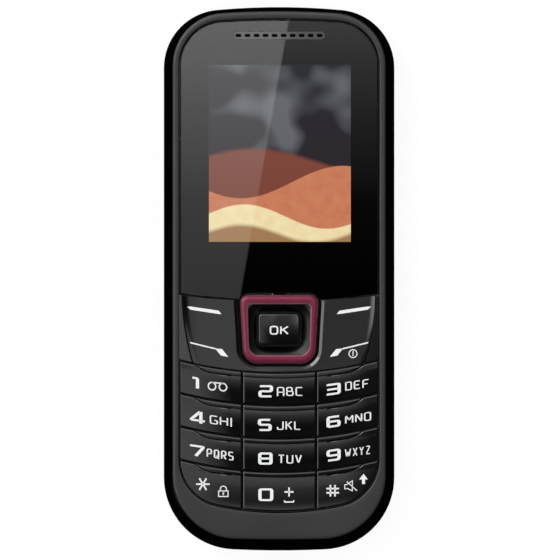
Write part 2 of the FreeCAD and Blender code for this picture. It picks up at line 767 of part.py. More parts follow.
def battery():
    """Flat rechargeable battery with rounded long edges."""
    shape = block(0, BATTERY_Y, BATTERY[0], BATTERY[1], BATTERY_LOW, BATTERY_LOW + BATTERY[2])
    return rounded(shape, 0.8, lambda p: abs(abs(p.x) - BATTERY[0] / 2) < 1e-4 and abs(p.y - BATTERY_Y) < 30)


def display_panel():
    """Liquid crystal panel, its face just under the window."""
    high = SHELF_TOP - 0.05
    return block(0, MODULE_Y + 0.6, MODULE[0] - 1.6, MODULE[1] - 2.6, high - PANEL_THICK, high)


def display_frame():
    """Plastic frame with the backlight under the panel."""
    shape = cut_block(0, MODULE_Y, *MODULE, 0.4, BOARD_TOP + 0.05, SHELF_TOP - 0.1)
    pocket = block(0, MODULE_Y + 0.6, MODULE[0] - 1.6, MODULE[1] - 2.6, SHELF_TOP - 0.05 - PANEL_THICK, 20.0)
    return shape.cut(pocket)


def display_flex():
    """Flat ribbon from the foot of the display to the board."""
    return block(0, -0.4, 12.0, 2.6, BOARD_TOP, BOARD_TOP + 0.12)


def loudspeaker():
    """Loudspeaker that faces the back."""
    x, y = SPEAKER_AT
    length, width, height = SPEAKER
    shape = cut_block(x, y, length, width, 1.6, SPEAKER_LOW, SPEAKER_LOW + height)
    shape = shape.cut(cut_block(x, y, length - 2.4, width - 2.4, 1.6, 0.0, SPEAKER_LOW + 0.4))
    cone = cut_block(x, y, 10.0, 6.0, 2.0, SPEAKER_LOW + 0.1, SPEAKER_LOW + 0.4)
    return shape.fuse(cone)


def microphone():
    """Small round microphone on the board above the chin's sound hole."""
    can = drum(*MIC_AT, 1.9, BOARD_TOP, BOARD_TOP + 1.3)
    return can.cut(drum(*MIC_AT, 0.5, BOARD_TOP + 0.9, BOARD_TOP + 2))


def vibration_motor():
    """Round motor with a flattened top, its shaft along X."""
    y, z = MOTOR_YZ
    length = MOTOR_X[1] - MOTOR_X[0]
    can = Part.makeCylinder(MOTOR_RADIUS, length, V(MOTOR_X[0], y, z), V(1, 0, 0))
    bush = Part.makeCylinder(0.9, 0.3, V(MOTOR_X[1], y, z), V(1, 0, 0))
    shape = can.fuse(bush)
    return shape.cut(Part.makeCylinder(SHAFT_RADIUS + 0.03, 4.0, V(MOTOR_X[1] - 3.0, y, z), V(1, 0, 0)))


def motor_weight():
    """Half-round weight on the motor's shaft, hanging down."""
    y, z = MOTOR_YZ
    length = WEIGHT_X[1] - WEIGHT_X[0]
    weight = Part.makeCylinder(WEIGHT_RADIUS, length, V(WEIGHT_X[0], y, z), V(1, 0, 0))
    weight = weight.cut(Part.makeBox(length, 2 * WEIGHT_RADIUS, WEIGHT_RADIUS, V(WEIGHT_X[0], y - WEIGHT_RADIUS, z)))
    hub = Part.makeCylinder(0.8, length, V(WEIGHT_X[0], y, z), V(1, 0, 0))
    shaft = Part.makeCylinder(SHAFT_RADIUS, 5.5, V(WEIGHT_X[1] - 5.5, y, z), V(1, 0, 0))
    return weight.fuse([hub, shaft])


def headset_socket():
    """Socket for a 3.5 mm headset plug, its collar in the top end."""
    shape = Part.makeBox(JACK_BODY[0], JACK_BODY[1], JACK_BODY[2],
                         V(JACK.x - JACK_BODY[0] / 2, 51.5 - JACK_BODY[1], JACK.z - JACK_BODY[2] / 2))
    shape = shape.fuse(jack_hole(JACK_COLLAR, 3.0))
    return shape.cut(jack_hole(JACK_BORE, JACK_DEPTH)).removeSplitter()


def charge_port():
    """Charging and data port: a metal shell with a contact tongue inside."""
    shell = usb_block(0.0, USB_MOUTH_Y, USB_SIZE[1])
    hollow = usb_block(-USB_WALL, USB_MOUTH_Y - 1, USB_SIZE[1])
    tongue = Part.makeBox(3.8, USB_SIZE[1] - 1.2, 0.6, V(-1.9, USB_MOUTH_Y + 0.9, USB_Z + 0.1))
    return shell.cut(hollow).fuse(tongue)


def antenna():
    """Plastic carrier with a stepped top, beside the headset socket."""
    shape = block(-4.2, 44.2, 10.4, 11.6, POCKET_LOW + 0.1, BOARD_LOW - 0.1)
    shape = bevelled(shape, 1.5, lambda p: abs(p.y - 50.0) < 1e-4 and abs(p.z - POCKET_LOW - 0.1) < 1e-4)
    return shape.cut(block(-4.2, 42.0, 7.0, 5.0, 4.4, 20.0))


def housing_screws():
    """Four screws with recessed cross heads, put in from the back."""
    screws = []
    radius, height = SCREW_HEAD
    for x, y in BOSSES:
        head = post(x, y, radius, CORE_LOW + 0.1, CORE_LOW + 0.1 + height)
        shank = post(x, y, SCREW_RADIUS, CORE_LOW + height, SCREW_END)
        screw = head.fuse(shank)
        for turn in (0, 1):
            size = (1.5, 0.35) if turn else (0.35, 1.5)
            screw = screw.cut(block(x, y, *size, 0.0, CORE_LOW + 0.6))
        screws.append(screw)
    return Part.makeCompound(screws)


def all_pieces():
    """Every piece by its name."""
    form = body_form()
    ok_hole = ok_outline(WEB_HOLE_GAP, 0.0, 20.0)
    ring_hole = raised(ring_wire(0.0, WEB_HOLE_GAP), 20.0)
    pieces = {
        "front_housing": front_housing(),
        "rear_housing": rear_housing(form),
        "battery_cover": battery_cover(form),
        "display_window": display_window(),
        "window_mask": window_mask(),
        "earpiece_grille": earpiece_grille(),
        "earpiece_receiver": earpiece_receiver(),
        "display_panel": display_panel(),
        "display_frame": display_frame(),
        "display_flex": display_flex(),
        "nav_ring": navigation_ring(),
        "nav_dish": navigation_dish(),
        "nav_ring_web": web(NAV_Y, RING_WEB, ok_hole),
        "ok_key": middle_key(),
        "function_key_plate": function_key_plate(),
        "function_key_web": web(PLATE_WEB_Y, PLATE_WEB, ring_hole),
        "keypad_mat": keypad_mat(),
        "switch_domes": switch_domes(),
        "keypad_lights": keypad_lights(),
        "main_board": main_board(),
        "shield_can": shield_can(),
        "sim_card_holder": sim_card_holder(),
        "sim_card": sim_card(),
        "battery": battery(),
        "battery_contacts": battery_contacts(),
        "loudspeaker": loudspeaker(),
        "microphone": microphone(),
        "vibration_motor": vibration_motor(),
        "motor_weight": motor_weight(),
        "headset_socket": headset_socket(),
        "charge_port": charge_port(),
        "antenna": antenna(),
        "housing_screws": housing_screws(),
    }
    pieces.update(number_keys())
    return pieces


os.makedirs("parts", exist_ok=True)
for name, shape in all_pieces().items():
    box = shape.optimalBoundingBox()
    print(f"{name}: {len(shape.Solids)} solid, valid {shape.isValid()}, volume {shape.Volume:.1f}, "
          f"z {box.ZMin:.2f} to {box.ZMax:.2f}, {box.XLength:.2f} x {box.YLength:.2f}")
    shape.exportStep(f"parts/{name}.step")
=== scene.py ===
"""Dresses the keypad bar phone: smooth front surfaces, printed legends, finishes and a plain studio.

Lengths are millimetres until a mesh is made, and metres from then on. X runs to the right of the
screen, Y towards the earpiece and Z out of the screen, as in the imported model.
"""

from __future__ import annotations

import json
import logging
import math
from collections.abc import Callable, Sequence
from dataclasses import dataclass, field
from enum import Enum

import bpy
import numpy as np
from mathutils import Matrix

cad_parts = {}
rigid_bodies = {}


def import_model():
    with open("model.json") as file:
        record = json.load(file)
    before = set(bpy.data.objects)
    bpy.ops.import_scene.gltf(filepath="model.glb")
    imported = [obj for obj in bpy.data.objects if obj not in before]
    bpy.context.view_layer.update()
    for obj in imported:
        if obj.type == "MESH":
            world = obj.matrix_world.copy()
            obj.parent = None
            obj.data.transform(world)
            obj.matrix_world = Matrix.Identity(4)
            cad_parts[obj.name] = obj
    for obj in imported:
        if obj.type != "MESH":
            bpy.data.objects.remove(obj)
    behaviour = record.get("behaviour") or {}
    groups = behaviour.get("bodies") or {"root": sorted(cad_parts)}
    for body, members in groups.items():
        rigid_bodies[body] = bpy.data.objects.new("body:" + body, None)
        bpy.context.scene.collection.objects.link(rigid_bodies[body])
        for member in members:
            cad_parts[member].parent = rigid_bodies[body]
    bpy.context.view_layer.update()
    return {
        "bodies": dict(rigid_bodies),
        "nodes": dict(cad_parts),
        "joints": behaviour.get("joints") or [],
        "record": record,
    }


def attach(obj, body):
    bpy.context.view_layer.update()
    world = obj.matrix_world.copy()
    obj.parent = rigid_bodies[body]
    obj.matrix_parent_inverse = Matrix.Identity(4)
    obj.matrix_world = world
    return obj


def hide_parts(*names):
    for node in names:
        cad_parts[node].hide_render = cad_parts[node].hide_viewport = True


LOG = logging.getLogger("keypad_phone")
MM = 0.001
Array = np.ndarray
Colour = tuple[float, float, float]
Curve = Callable[[Array], Array]
Stops = tuple[tuple[float, float], ...]


class Slot(Enum):
    """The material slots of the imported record."""

    SATIN_GREY = "satin_grey"
    GLOSS_BLACK = "gloss_black"
    COVER_BLACK = "cover_black"
    WINDOW = "window_clear"
    MASK = "mask_black"
    GRILLE = "grille_grey"
    DISPLAY = "display_face"
    WHITE_PLASTIC = "white_plastic"
    FLEX = "flex_amber"
    RING = "ring_burgundy"
    DISH = "dish_black"
    KEY = "key_black"
    SILICONE = "silicone"
    METAL = "bright_metal"
    BOARD = "board_green"
    BATTERY = "battery_wrap"
    SCREW = "screw_steel"


class Side(Enum):
    """Which column of keys, or which side of the phone."""

    LEFT = -1
    MIDDLE = 0
    RIGHT = 1


# Plan curves


@dataclass(frozen=True)
class PlanPath:
    """A closed path in plan, sampled anticlockwise, with its outward normals."""

    points: Array
    normals: Array

    def moved(self, amount: float) -> Array:
        """The path moved outwards: each point plus its normal times the amount."""
        return self.points + self.normals * amount

    def outside(self, places: Array) -> tuple[Array, Array]:
        """Signed distance outside the path, taken along the normal of the nearest sample.

        Args:
            places: plan points, of shape (..., 2).

        Returns:
            The distances, negative inside, and the outward normals at the nearest samples.
        """
        flat = places.reshape(-1, 2)
        gaps = ((flat[:, None, :] - self.points[None, :, :]) ** 2).sum(axis=-1)
        nearest = gaps.argmin(axis=1)
        normals = self.normals[nearest]
        reach = ((flat - self.points[nearest]) * normals).sum(axis=-1)
        return reach.reshape(places.shape[:-1]), normals.reshape(places.shape)


def arc_samples(centre: Sequence[float], radius: float, start: float, stop: float,
                count: int) -> tuple[Array, Array]:
    """Samples of an arc without its last point: centre plus radius times (cos a, sin a).

    Args:
        centre: middle of the arc.
        radius: its radius.
        start: first angle in radians.
        stop: last angle in radians.
        count: how many samples.

    Returns:
        The points and the unit rays that point away from the centre.
    """
    angle = np.linspace(start, stop, count, endpoint=False)
    ray = np.stack([np.cos(angle), np.sin(angle)], axis=-1)
    return np.asarray(centre) + radius * ray, ray


def line_samples(first: Sequence[float], last: Sequence[float], count: int) -> tuple[Array, Array]:
    """Samples of a straight side without its last point, and the normals to its right.

    Args:
        first: start point.
        last: end point.
        count: how many samples.

    Returns:
        The points, first plus a share of the run, and the unit normals.
    """
    share = np.linspace(0.0, 1.0, count, endpoint=False)[:, None]
    run = np.asarray(last) - np.asarray(first)
    normal = np.array([run[1], -run[0]]) / np.hypot(*run)
    return np.asarray(first) + share * run, np.repeat(normal[None, :], count, axis=0)


@dataclass(frozen=True)
class Outline:
    """A phone outline: straight sides, round corners and gently bowed ends."""

    half: float
    top_corner: float
    top_bow: float
    top: float
    low_corner: float
    low_bow: float
    low: float

    def grown(self, amount: float) -> Outline:
        """The outline moved outwards by the same amount all round."""
        return Outline(self.half + amount, self.top_corner + amount, self.top_bow + amount,
                       self.top + amount, self.low_corner + amount, self.low_bow + amount,
                       self.low - amount)

    @staticmethod
    def corner(half: float, radius: float, bow: float, reach: float) -> tuple[float, float, float]:
        """Middle of a corner arc that touches the side and the bowed end.

        Args:
            half: half width between the sides.
            radius: corner radius.
            bow: radius of the end.
            reach: how far the end's middle lies from the origin.

        Returns:
            The arc's middle x and y, and the angle where the corner meets the bow.
        """
        x = half - radius
        rise = math.sqrt((bow - radius) ** 2 - x ** 2)
        return x, reach - bow + rise, math.atan2(rise, x)

    def path(self, arc: int = 22, end: int = 40, side: int = 60) -> PlanPath:
        """The outline as eight tangent pieces, each sampled evenly.

        Args:
            arc: samples on each corner.
            end: samples on each bowed end.
            side: samples on each straight side.

        Returns:
            The closed path.
        """
        x_t, y_t, turn_t = self.corner(self.half, self.top_corner, self.top_bow, self.top)
        x_l, y_l, turn_l = self.corner(self.half, self.low_corner, self.low_bow, -self.low)
        full = 2 * math.pi
        pieces = [
            line_samples((self.half, -y_l), (self.half, y_t), side),
            arc_samples((x_t, y_t), self.top_corner, 0.0, turn_t, arc),
            arc_samples((0.0, self.top - self.top_bow), self.top_bow, turn_t, math.pi - turn_t, end),
            arc_samples((-x_t, y_t), self.top_corner, math.pi - turn_t, math.pi, arc),
            line_samples((-self.half, y_t), (-self.half, -y_l), side),
            arc_samples((-x_l, -y_l), self.low_corner, math.pi, math.pi + turn_l, arc),
            arc_samples((0.0, self.low + self.low_bow), self.low_bow, math.pi + turn_l,
                        full - turn_l, end),
            arc_samples((x_l, -y_l), self.low_corner, full - turn_l, full, arc),
        ]
        return PlanPath(np.concatenate([p for p, _ in pieces]), np.concatenate([n for _, n in pieces]))


@dataclass(frozen=True)
class RoundedShape:
    """A closed polygon with round corners, listed anticlockwise."""

    corners: tuple[tuple[float, float], ...]
    radii: tuple[float, ...]

    def path(self, arc: int = 18, side: int = 22) -> PlanPath:
        """Each corner's tangent arc and the straight run to the next corner.

        Args:
            arc: samples on each corner.
            side: samples on each straight side.

        Returns:
            The closed path.
        """
        count = len(self.corners)
        spots = np.asarray(self.corners, float)
        back = np.roll(spots, 1, axis=0) - spots
        ahead = np.roll(spots, -1, axis=0) - spots
        back /= np.linalg.norm(back, axis=1, keepdims=True)
        ahead /= np.linalg.norm(ahead, axis=1, keepdims=True)
        half_angle = np.arccos((back * ahead).sum(axis=1)) / 2
        radii = np.asarray(self.radii)
        bisector = back + ahead
        bisector /= np.linalg.norm(bisector, axis=1, keepdims=True)
        centres = spots + bisector * (radii / np.sin(half_angle))[:, None]
        run = (radii / np.tan(half_angle))[:, None]
        starts, ends = spots + back * run, spots + ahead * run
        pieces = []
        for i in range(count):
            first = math.atan2(*(starts[i] - centres[i])[::-1])
            sweep = (math.pi - 2 * half_angle[i])
            pieces.append(arc_samples(centres[i], radii[i], first, first + sweep, arc))
            pieces.append(line_samples(ends[i], starts[(i + 1) % count], side))
        return PlanPath(np.concatenate([p for p, _ in pieces]), np.concatenate([n for _, n in pieces]))


def tapered_frame(top: float, low: float, half_top: float, half_low: float, radius_top: float,
                  radius_low: float, extra: float = 0.0) -> RoundedShape:
    """A frame that is wider at the top than at the bottom, moved outwards by extra."""
    wide, narrow = half_top + extra, half_low + extra
    corners = ((-narrow, low - extra), (narrow, low - extra), (wide, top + extra), (-wide, top + extra))
    radii = (radius_low + extra, radius_low + extra, radius_top + extra, radius_top + extra)
    return RoundedShape(corners, radii)


def spaced(length: float, step: float, rim: float = 0.35, rim_step: float = 0.045) -> Array:
    """Shares from 0 to 1 along a run, close together within rim of both ends."""
    rim = min(rim, length / 3)
    edge = np.arange(0.0, rim - rim_step / 2, rim_step)
    middle = np.linspace(rim, length - rim, max(3, round((length - 2 * rim) / step) + 1))
    return np.concatenate([edge, middle, length - edge[::-1]]) / length


def coons(top: Curve, bottom: Curve, left: Curve, right: Curve, across: Array, down: Array) -> Array:
    """A plan grid between four curves: the two ruled grids added, less the grid of the four corners.

    Args:
        top: curve from left to right at the start.
        bottom: curve from left to right at the end.
        left: curve from top to bottom.
        right: curve from top to bottom.
        across: shares along top and bottom.
        down: shares along left and right.

    Returns:
        Plan points of shape (down, across, 2).
    """
    u, v = across[None, :, None], down[:, None, None]
    t, b = top(across)[None], bottom(across)[None]
    le, ri = left(down)[:, None], right(down)[:, None]
    ruled = (1 - v) * t + v * b + (1 - u) * le + u * ri
    corners = ((1 - u) * (1 - v) * t[:, :1] + u * (1 - v) * t[:, -1:]
               + (1 - u) * v * b[:, :1] + u * v * b[:, -1:])
    return ruled - corners


def chord(first: Sequence[float], last: Sequence[float]) -> Curve:
    """A straight run from first to last, as a curve of a share."""
    a, b = np.asarray(first, float), np.asarray(last, float)
    return lambda share: a + share[:, None] * (b - a)


def bow(centre_y: float, radius: float, x_first: float, x_last: float) -> Curve:
    """The lower side of a circle on the middle line: y = centre - sqrt(radius squared - x squared)."""

    def curve(share: Array) -> Array:
        x = x_first + share * (x_last - x_first)
        return np.stack([x, centre_y - np.sqrt(radius ** 2 - x ** 2)], axis=-1)

    return curve


def threaded(points: Array) -> Curve:
    """A curve through samples, read by its share of the whole length."""
    steps = np.linalg.norm(np.diff(points, axis=0), axis=1)
    at = np.concatenate([[0.0], np.cumsum(steps)]) / steps.sum()
    return lambda share: np.stack([np.interp(share, at, points[:, k]) for k in (0, 1)], axis=-1)


def quarter_drop(distance: Array, radius: float) -> Array:
    """How far a rounded edge has fallen: r - sqrt(r squared - (r - d) squared), and 0 past r."""
    short = np.clip(radius - distance, 0.0, radius)
    return radius - np.sqrt(radius ** 2 - short ** 2)


def summed(slopes: Stops, places: Array) -> Array:
    """The height that a run of slopes adds up to at each place.

    The slope is read off straight lines between its stops and summed from the first stop with the
    trapezium rule: half of the step times the sum of the slopes at its two ends.

    Args:
        slopes: stops, each (place, slope).
        places: where the height is wanted.

    Returns:
        The heights.
    """
    stops = np.asarray(slopes)
    fine = np.linspace(stops[0, 0], stops[-1, 0], 600)
    slope = np.interp(fine, stops[:, 0], stops[:, 1])
    steps = (slope[1:] + slope[:-1]) / 2 * np.diff(fine)
    return np.interp(places, fine, np.concatenate([[0.0], np.cumsum(steps)]))


def soft_lower(first: Array, second: Array, blend: float) -> Array:
    """The lower of two heights, with the meeting line rounded over blend millimetres."""
    h = np.clip(0.5 + 0.5 * (second - first) / blend, 0.0, 1.0)
    return second + (first - second) * h - blend * h * (1 - h)


def round_corners(places: Array, gaps: Array, normals: Array, radius: float) -> tuple[Array, Array]:
    """Turns the sharp plan corners of a grid into arcs, and gives the distance to the new edge.

    Within radius of an edge a point stands back by a = radius - gap. Where two edges are near, the
    square of (a, b) is drawn onto a quarter disc: both are scaled by the larger over their length.

    Args:
        places: plan points, of shape (..., 2).
        gaps: distance to each edge, of shape (edges, ...).
        normals: inward normals of each edge, of shape (edges, ..., 2).
        radius: corner radius.

    Returns:
        The moved points and their distance to the rounded outline.
    """
    back = np.clip(radius - gaps, 0.0, None)
    largest = back.max(axis=0)
    length = np.sqrt((back ** 2).sum(axis=0))
    scale = np.where(length > 1e-9, largest / np.maximum(length, 1e-9), 1.0)
    shift = (normals * (back * (1 - scale))[..., None]).sum(axis=0)
    return places + shift, gaps.min(axis=0)


# Meshes


@dataclass
class Form:
    """Vertices in millimetres with quads, flat caps and the share of edge at each vertex."""

    vertices: Array
    quads: Array
    caps: list[list[int]] = field(default_factory=list)
    edge: Array | None = None

    def volume(self) -> float:
        """Signed volume: a sixth of the sum of the triple products of fan triangles."""
        v = self.vertices
        total = 0.0
        for a, b, c in ((0, 1, 2), (0, 2, 3)):
            p, q, r = v[self.quads[:, a]], v[self.quads[:, b]], v[self.quads[:, c]]
            total += float((p * np.cross(q, r)).sum())
        for cap in self.caps:
            p, q, r = v[cap[0]], v[cap[1:-1]], v[cap[2:]]
            total += float((p[None] * np.cross(q, r)).sum())
        return total / 6

    def outward(self) -> Form:
        """The same form with its faces turned to point outwards."""
        if self.volume() >= 0:
            return self
        return Form(self.vertices, self.quads[:, ::-1], [cap[::-1] for cap in self.caps], self.edge)

    def joined(self, other: Form) -> Form:
        """This form and another in one."""
        count = len(self.vertices)
        caps = self.caps + [[i + count for i in cap] for cap in other.caps]
        edge = None
        if self.edge is not None and other.edge is not None:
            edge = np.concatenate([self.edge, other.edge])
        return Form(np.concatenate([self.vertices, other.vertices]),
                    np.concatenate([self.quads, other.quads + count]), caps, edge)

    def piece(self, name: str, material: bpy.types.Material, body: str, slot: Slot,
              sharp: float = 40.0) -> bpy.types.Object:
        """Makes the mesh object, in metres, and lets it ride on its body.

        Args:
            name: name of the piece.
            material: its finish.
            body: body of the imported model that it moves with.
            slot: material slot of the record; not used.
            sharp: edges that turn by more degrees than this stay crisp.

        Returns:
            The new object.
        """
        mesh = bpy.data.meshes.new(name)
        mesh.from_pydata((self.vertices * MM).tolist(), [], self.quads.tolist() + self.caps)
        mesh.polygons.foreach_set("use_smooth", np.ones(len(mesh.polygons), bool))
        mesh.set_sharp_from_angle(angle=math.radians(sharp))
        # The share of edge is where the lighter edge colour goes: wear, and a painted highlight.
        if self.edge is not None:
            attribute = mesh.attributes.new("edge_share", "FLOAT", "POINT")
            attribute.data.foreach_set("value", self.edge.astype(np.float32))
        mesh.materials.append(material)
        mesh.update()
        obj = bpy.data.objects.new(name, mesh)
        bpy.context.scene.collection.objects.link(obj)
        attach(obj, body)
        LOG.info("%s: %d faces on %s", name, len(mesh.polygons), body)
        return obj


def grid_quads(rows: int, columns: int, wrap_rows: bool = False, wrap_columns: bool = False) -> Array:
    """Quads of a grid numbered row by row; a wrapped side joins back to the start."""
    i = np.arange(rows if wrap_rows else rows - 1)[:, None]
    j = np.arange(columns if wrap_columns else columns - 1)[None, :]
    below, beside = (i + 1) % rows, (j + 1) % columns
    corners = [i * columns + j, i * columns + beside, below * columns + beside, below * columns + j]
    return np.stack([np.broadcast_to(c, (i.size, j.size)) for c in corners], axis=-1).reshape(-1, 4)


def tube_form(rows: Array, edge: Array | None = None) -> Form:
    """A ring whose profile is closed too: rows of the profile, each a closed run of points.

    Args:
        rows: points of shape (profile, path, 3).
        edge: share of edge of each row.

    Returns:
        The closed form.
    """
    count, along = rows.shape[:2]
    share = None if edge is None else np.repeat(edge, along)
    return Form(rows.reshape(-1, 3), grid_quads(count, along, True, True), edge=share).outward()


def block_form(top: Array, foot: float, edge: Array) -> Form:
    """A solid with a modelled top: the grid, walls straight down from its border, and a flat foot.

    Args:
        top: surface points of shape (rows, columns, 3).
        foot: height of the foot.
        edge: share of edge at each grid point.

    Returns:
        The closed form.
    """
    rows, columns = top.shape[:2]
    index = np.arange(rows * columns).reshape(rows, columns)
    border = np.concatenate([index[0, :-1], index[:-1, -1], index[-1, :0:-1], index[:0:-1, 0]])
    low = top.reshape(-1, 3)[border].copy()
    low[:, 2] = foot
    count = rows * columns
    under = count + np.arange(len(border))
    walls = np.stack([border, under, np.roll(under, -1), np.roll(border, -1)], axis=-1)
    vertices = np.concatenate([top.reshape(-1, 3), low])
    quads = np.concatenate([grid_quads(rows, columns), walls])
    share = np.concatenate([edge.reshape(-1), np.ones(len(border))])
    return Form(vertices, quads, [under[::-1].tolist()], share).outward()


def welded_copy(name: str, node: str, frame: dict, material: bpy.types.Material, body: str,
                sharp: float) -> bpy.types.Object:
    """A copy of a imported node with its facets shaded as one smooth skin, in place of the node.

    The loose triangles are welded, and each vertex normal is the average of its faces weighted by
    their area, so the flat back stays flat and the narrow facets round it blend.

    Args:
        name: name of the new piece.
        node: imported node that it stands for.
        material: its finish.
        body: body that it moves with.
        sharp: edges that turn by more degrees than this stay crisp.

    Returns:
        The new object.
    """
    source = frame["nodes"][node].data
    points = np.empty(len(source.vertices) * 3)
    source.vertices.foreach_get("co", points)
    corners = np.empty(len(source.loops), int)
    source.loops.foreach_get("vertex_index", corners)
    keys = np.round(points.reshape(-1, 3) / (MM * 0.002)).astype(int)
    _, first, back = np.unique(keys, axis=0, return_index=True, return_inverse=True)
    triangles = back.reshape(-1)[corners].reshape(-1, 3)
    whole = ((triangles[:, 0] != triangles[:, 1]) & (triangles[:, 1] != triangles[:, 2])
             & (triangles[:, 2] != triangles[:, 0]))
    mesh = bpy.data.meshes.new(name)
    mesh.from_pydata(points.reshape(-1, 3)[first].tolist(), [], triangles[whole].tolist())
    mesh.polygons.foreach_set("use_smooth", np.ones(len(mesh.polygons), bool))
    mesh.set_sharp_from_angle(angle=math.radians(sharp))
    mesh.materials.append(material)
    obj = bpy.data.objects.new(name, mesh)
    bpy.context.scene.collection.objects.link(obj)
    weighted = obj.modifiers.new("even_shading", "WEIGHTED_NORMAL")
    weighted.keep_sharp = True
    weighted.weight = 50
    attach(obj, body)
    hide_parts(node)
    LOG.info("%s: %d faces on %s", name, len(mesh.polygons), body)
    return obj


# Shader groups and finishes


class Sketch:
    """Adds and links the nodes of one shader tree."""

    def __init__(self, tree: bpy.types.NodeTree) -> None:
        """Starts on a tree, which keeps the nodes that it has."""
        self.tree = tree

    def add(self, kind: str, inputs: dict | None = None, **settings: object) -> bpy.types.Node:
        """Adds a node.

        Args:
            kind: node type without its ShaderNode prefix, or a full type name.
            inputs: socket name or number to a value, or to a socket to link from.
            settings: properties of the node.

        Returns:
            The node.
        """
        full = kind if kind.startswith("Node") else f"ShaderNode{kind}"
        node = self.tree.nodes.new(full)
        for key, value in settings.items():
            setattr(node, key, value)
        for key, value in (inputs or {}).items():
            if isinstance(value, bpy.types.NodeSocket):
                self.tree.links.new(value, node.inputs[key])
            else:
                node.inputs[key].default_value = value
        return node

    def math(self, operation: str, first: object, second: object = 0.0, clamp: bool = False) -> object:
        """The output of a maths node on two values or sockets."""
        return self.add("Math", {0: first, 1: second}, operation=operation, use_clamp=clamp).outputs[0]

    def mix(self, share: object, first: object, second: object) -> object:
        """The colour that is a share of the way from first to second."""
        node = self.add("Mix", {0: share}, data_type="RGBA")
        for socket, value in ((node.inputs[6], first), (node.inputs[7], second)):
            if isinstance(value, bpy.types.NodeSocket):
                self.tree.links.new(value, socket)
            else:
                socket.default_value = (*value, 1.0)
        return node.outputs[2]

    def steps(self, value: object, stops: Sequence[tuple[float, float]], low: float,
              high: float) -> object:
        """A value read off straight lines between stops, each (place, height), placed from low to high."""
        share = self.add("MapRange", {"Value": value, "From Min": low, "From Max": high}).outputs[0]
        ramp = self.add("ValToRGB", {0: share})
        elements = ramp.color_ramp.elements
        while len(elements) < len(stops):
            elements.new(0.5)
        for element, (place, height) in zip(elements, stops):
            element.position = (place - low) / (high - low)
            element.color = (height, height, height, 1.0)
        return ramp.outputs[0]

    def place(self) -> object:
        """The Object coordinates."""
        return self.add("TexCoord").outputs["Object"]


@dataclass
class SurfaceGroups:
    """The node groups that the finishes share, each built once."""

    made: dict[str, bpy.types.NodeTree] = field(default_factory=dict)

    def group(self, name: str, inputs: dict[str, float], output: str) -> tuple[Sketch, dict, object] | None:
        """Starts a group with float inputs and one float output, or gives None if it exists."""
        if name in self.made:
            return None
        tree = bpy.data.node_groups.new(name, "ShaderNodeTree")
        for socket, value in inputs.items():
            made = tree.interface.new_socket(name=socket, in_out="INPUT", socket_type="NodeSocketFloat")
            made.default_value = value
        tree.interface.new_socket(name=output, in_out="OUTPUT", socket_type="NodeSocketFloat")
        self.made[name] = tree
        sketch = Sketch(tree)
        entry = sketch.add("NodeGroupInput")
        close = sketch.add("NodeGroupOutput")
        return sketch, {s: entry.outputs[s] for s in inputs}, close.inputs[output]

    def grain(self) -> bpy.types.NodeTree:
        """Moulded grain: fine noise with a second octave, as a height from 0 to 1."""
        started = self.group("moulded_grain", {"Scale": 4000.0, "Detail": 2.0}, "Height")
        if started:
            sketch, given, close = started
            noise = sketch.add("TexNoise", {"Vector": sketch.place(), "Scale": given["Scale"],
                                            "Detail": given["Detail"], "Roughness": 0.55})
            sketch.tree.links.new(noise.outputs[0], close)
        return self.made["moulded_grain"]

    def uneven_gloss(self) -> bpy.types.NodeTree:
        """Gloss that wanders between two roughness values over broad patches and fine smears."""
        started = self.group("uneven_gloss", {"Scale": 90.0, "Low": 0.1, "High": 0.2}, "Roughness")
        if started:
            sketch, given, close = started
            broad = sketch.add("TexNoise", {"Vector": sketch.place(), "Scale": given["Scale"],
                                            "Detail": 4.0})
            shaped = sketch.add("MapRange", {"Value": broad.outputs[0], "From Min": 0.32,
                                             "From Max": 0.68, "To Min": given["Low"],
                                             "To Max": given["High"]})
            sketch.tree.links.new(shaped.outputs[0], close)
        return self.made["uneven_gloss"]

    def hairlines(self) -> bpy.types.NodeTree:
        """Faint handling scratches: noise stretched along one direction, kept only at its crests."""
        started = self.group("hairlines", {"Scale": 500.0, "Amount": 0.3}, "Mask")
        if started:
            sketch, given, close = started
            crests = []
            for turn in (0.5, 2.1):
                lean = sketch.add("Mapping", {"Vector": sketch.place(), "Rotation": (0.0, 0.0, turn),
                                              "Scale": (1.0, 0.04, 1.0)})
                noise = sketch.add("TexNoise", {"Vector": lean.outputs[0], "Scale": given["Scale"],
                                                "Detail": 1.0})
                crests.append(sketch.add("MapRange", {"Value": noise.outputs[0], "From Min": 0.7,
                                                      "From Max": 0.78}).outputs[0])
            both = sketch.math("MAXIMUM", *crests)
            sketch.tree.links.new(sketch.math("MULTIPLY", both, given["Amount"]), close)
        return self.made["hairlines"]

    def rubbed_edge(self) -> bpy.types.NodeTree:
        """Where fingers polish an edge and where a highlight is painted on it: the edge share to a power, broken up
        by noise.
        """
        started = self.group("rubbed_edge", {"Edge": 0.0, "Amount": 0.5}, "Mask")
        if started:
            sketch, given, close = started
            noise = sketch.add("TexNoise", {"Vector": sketch.place(), "Scale": 700.0, "Detail": 3.0})
            broken = sketch.add("MapRange", {"Value": noise.outputs[0], "From Min": 0.3,
                                             "From Max": 0.7, "To Min": 0.4, "To Max": 1.0})
            near = sketch.math("POWER", given["Edge"], 1.5)
            wear_and_highlight_share = sketch.math("MULTIPLY", near, broken.outputs[0])
            sketch.tree.links.new(sketch.math("MULTIPLY", wear_and_highlight_share, given["Amount"], True), close)
        return self.made["rubbed_edge"]

    def place(self, sketch: Sketch, tree: bpy.types.NodeTree, **values: object) -> object:
        """The output of a group placed in a material with its own values."""
        node = sketch.add("Group", node_tree=tree)
        for name, value in values.items():
            if isinstance(value, bpy.types.NodeSocket):
                sketch.tree.links.new(value, node.inputs[name])
            else:
                node.inputs[name].default_value = value
        return node.outputs[0]


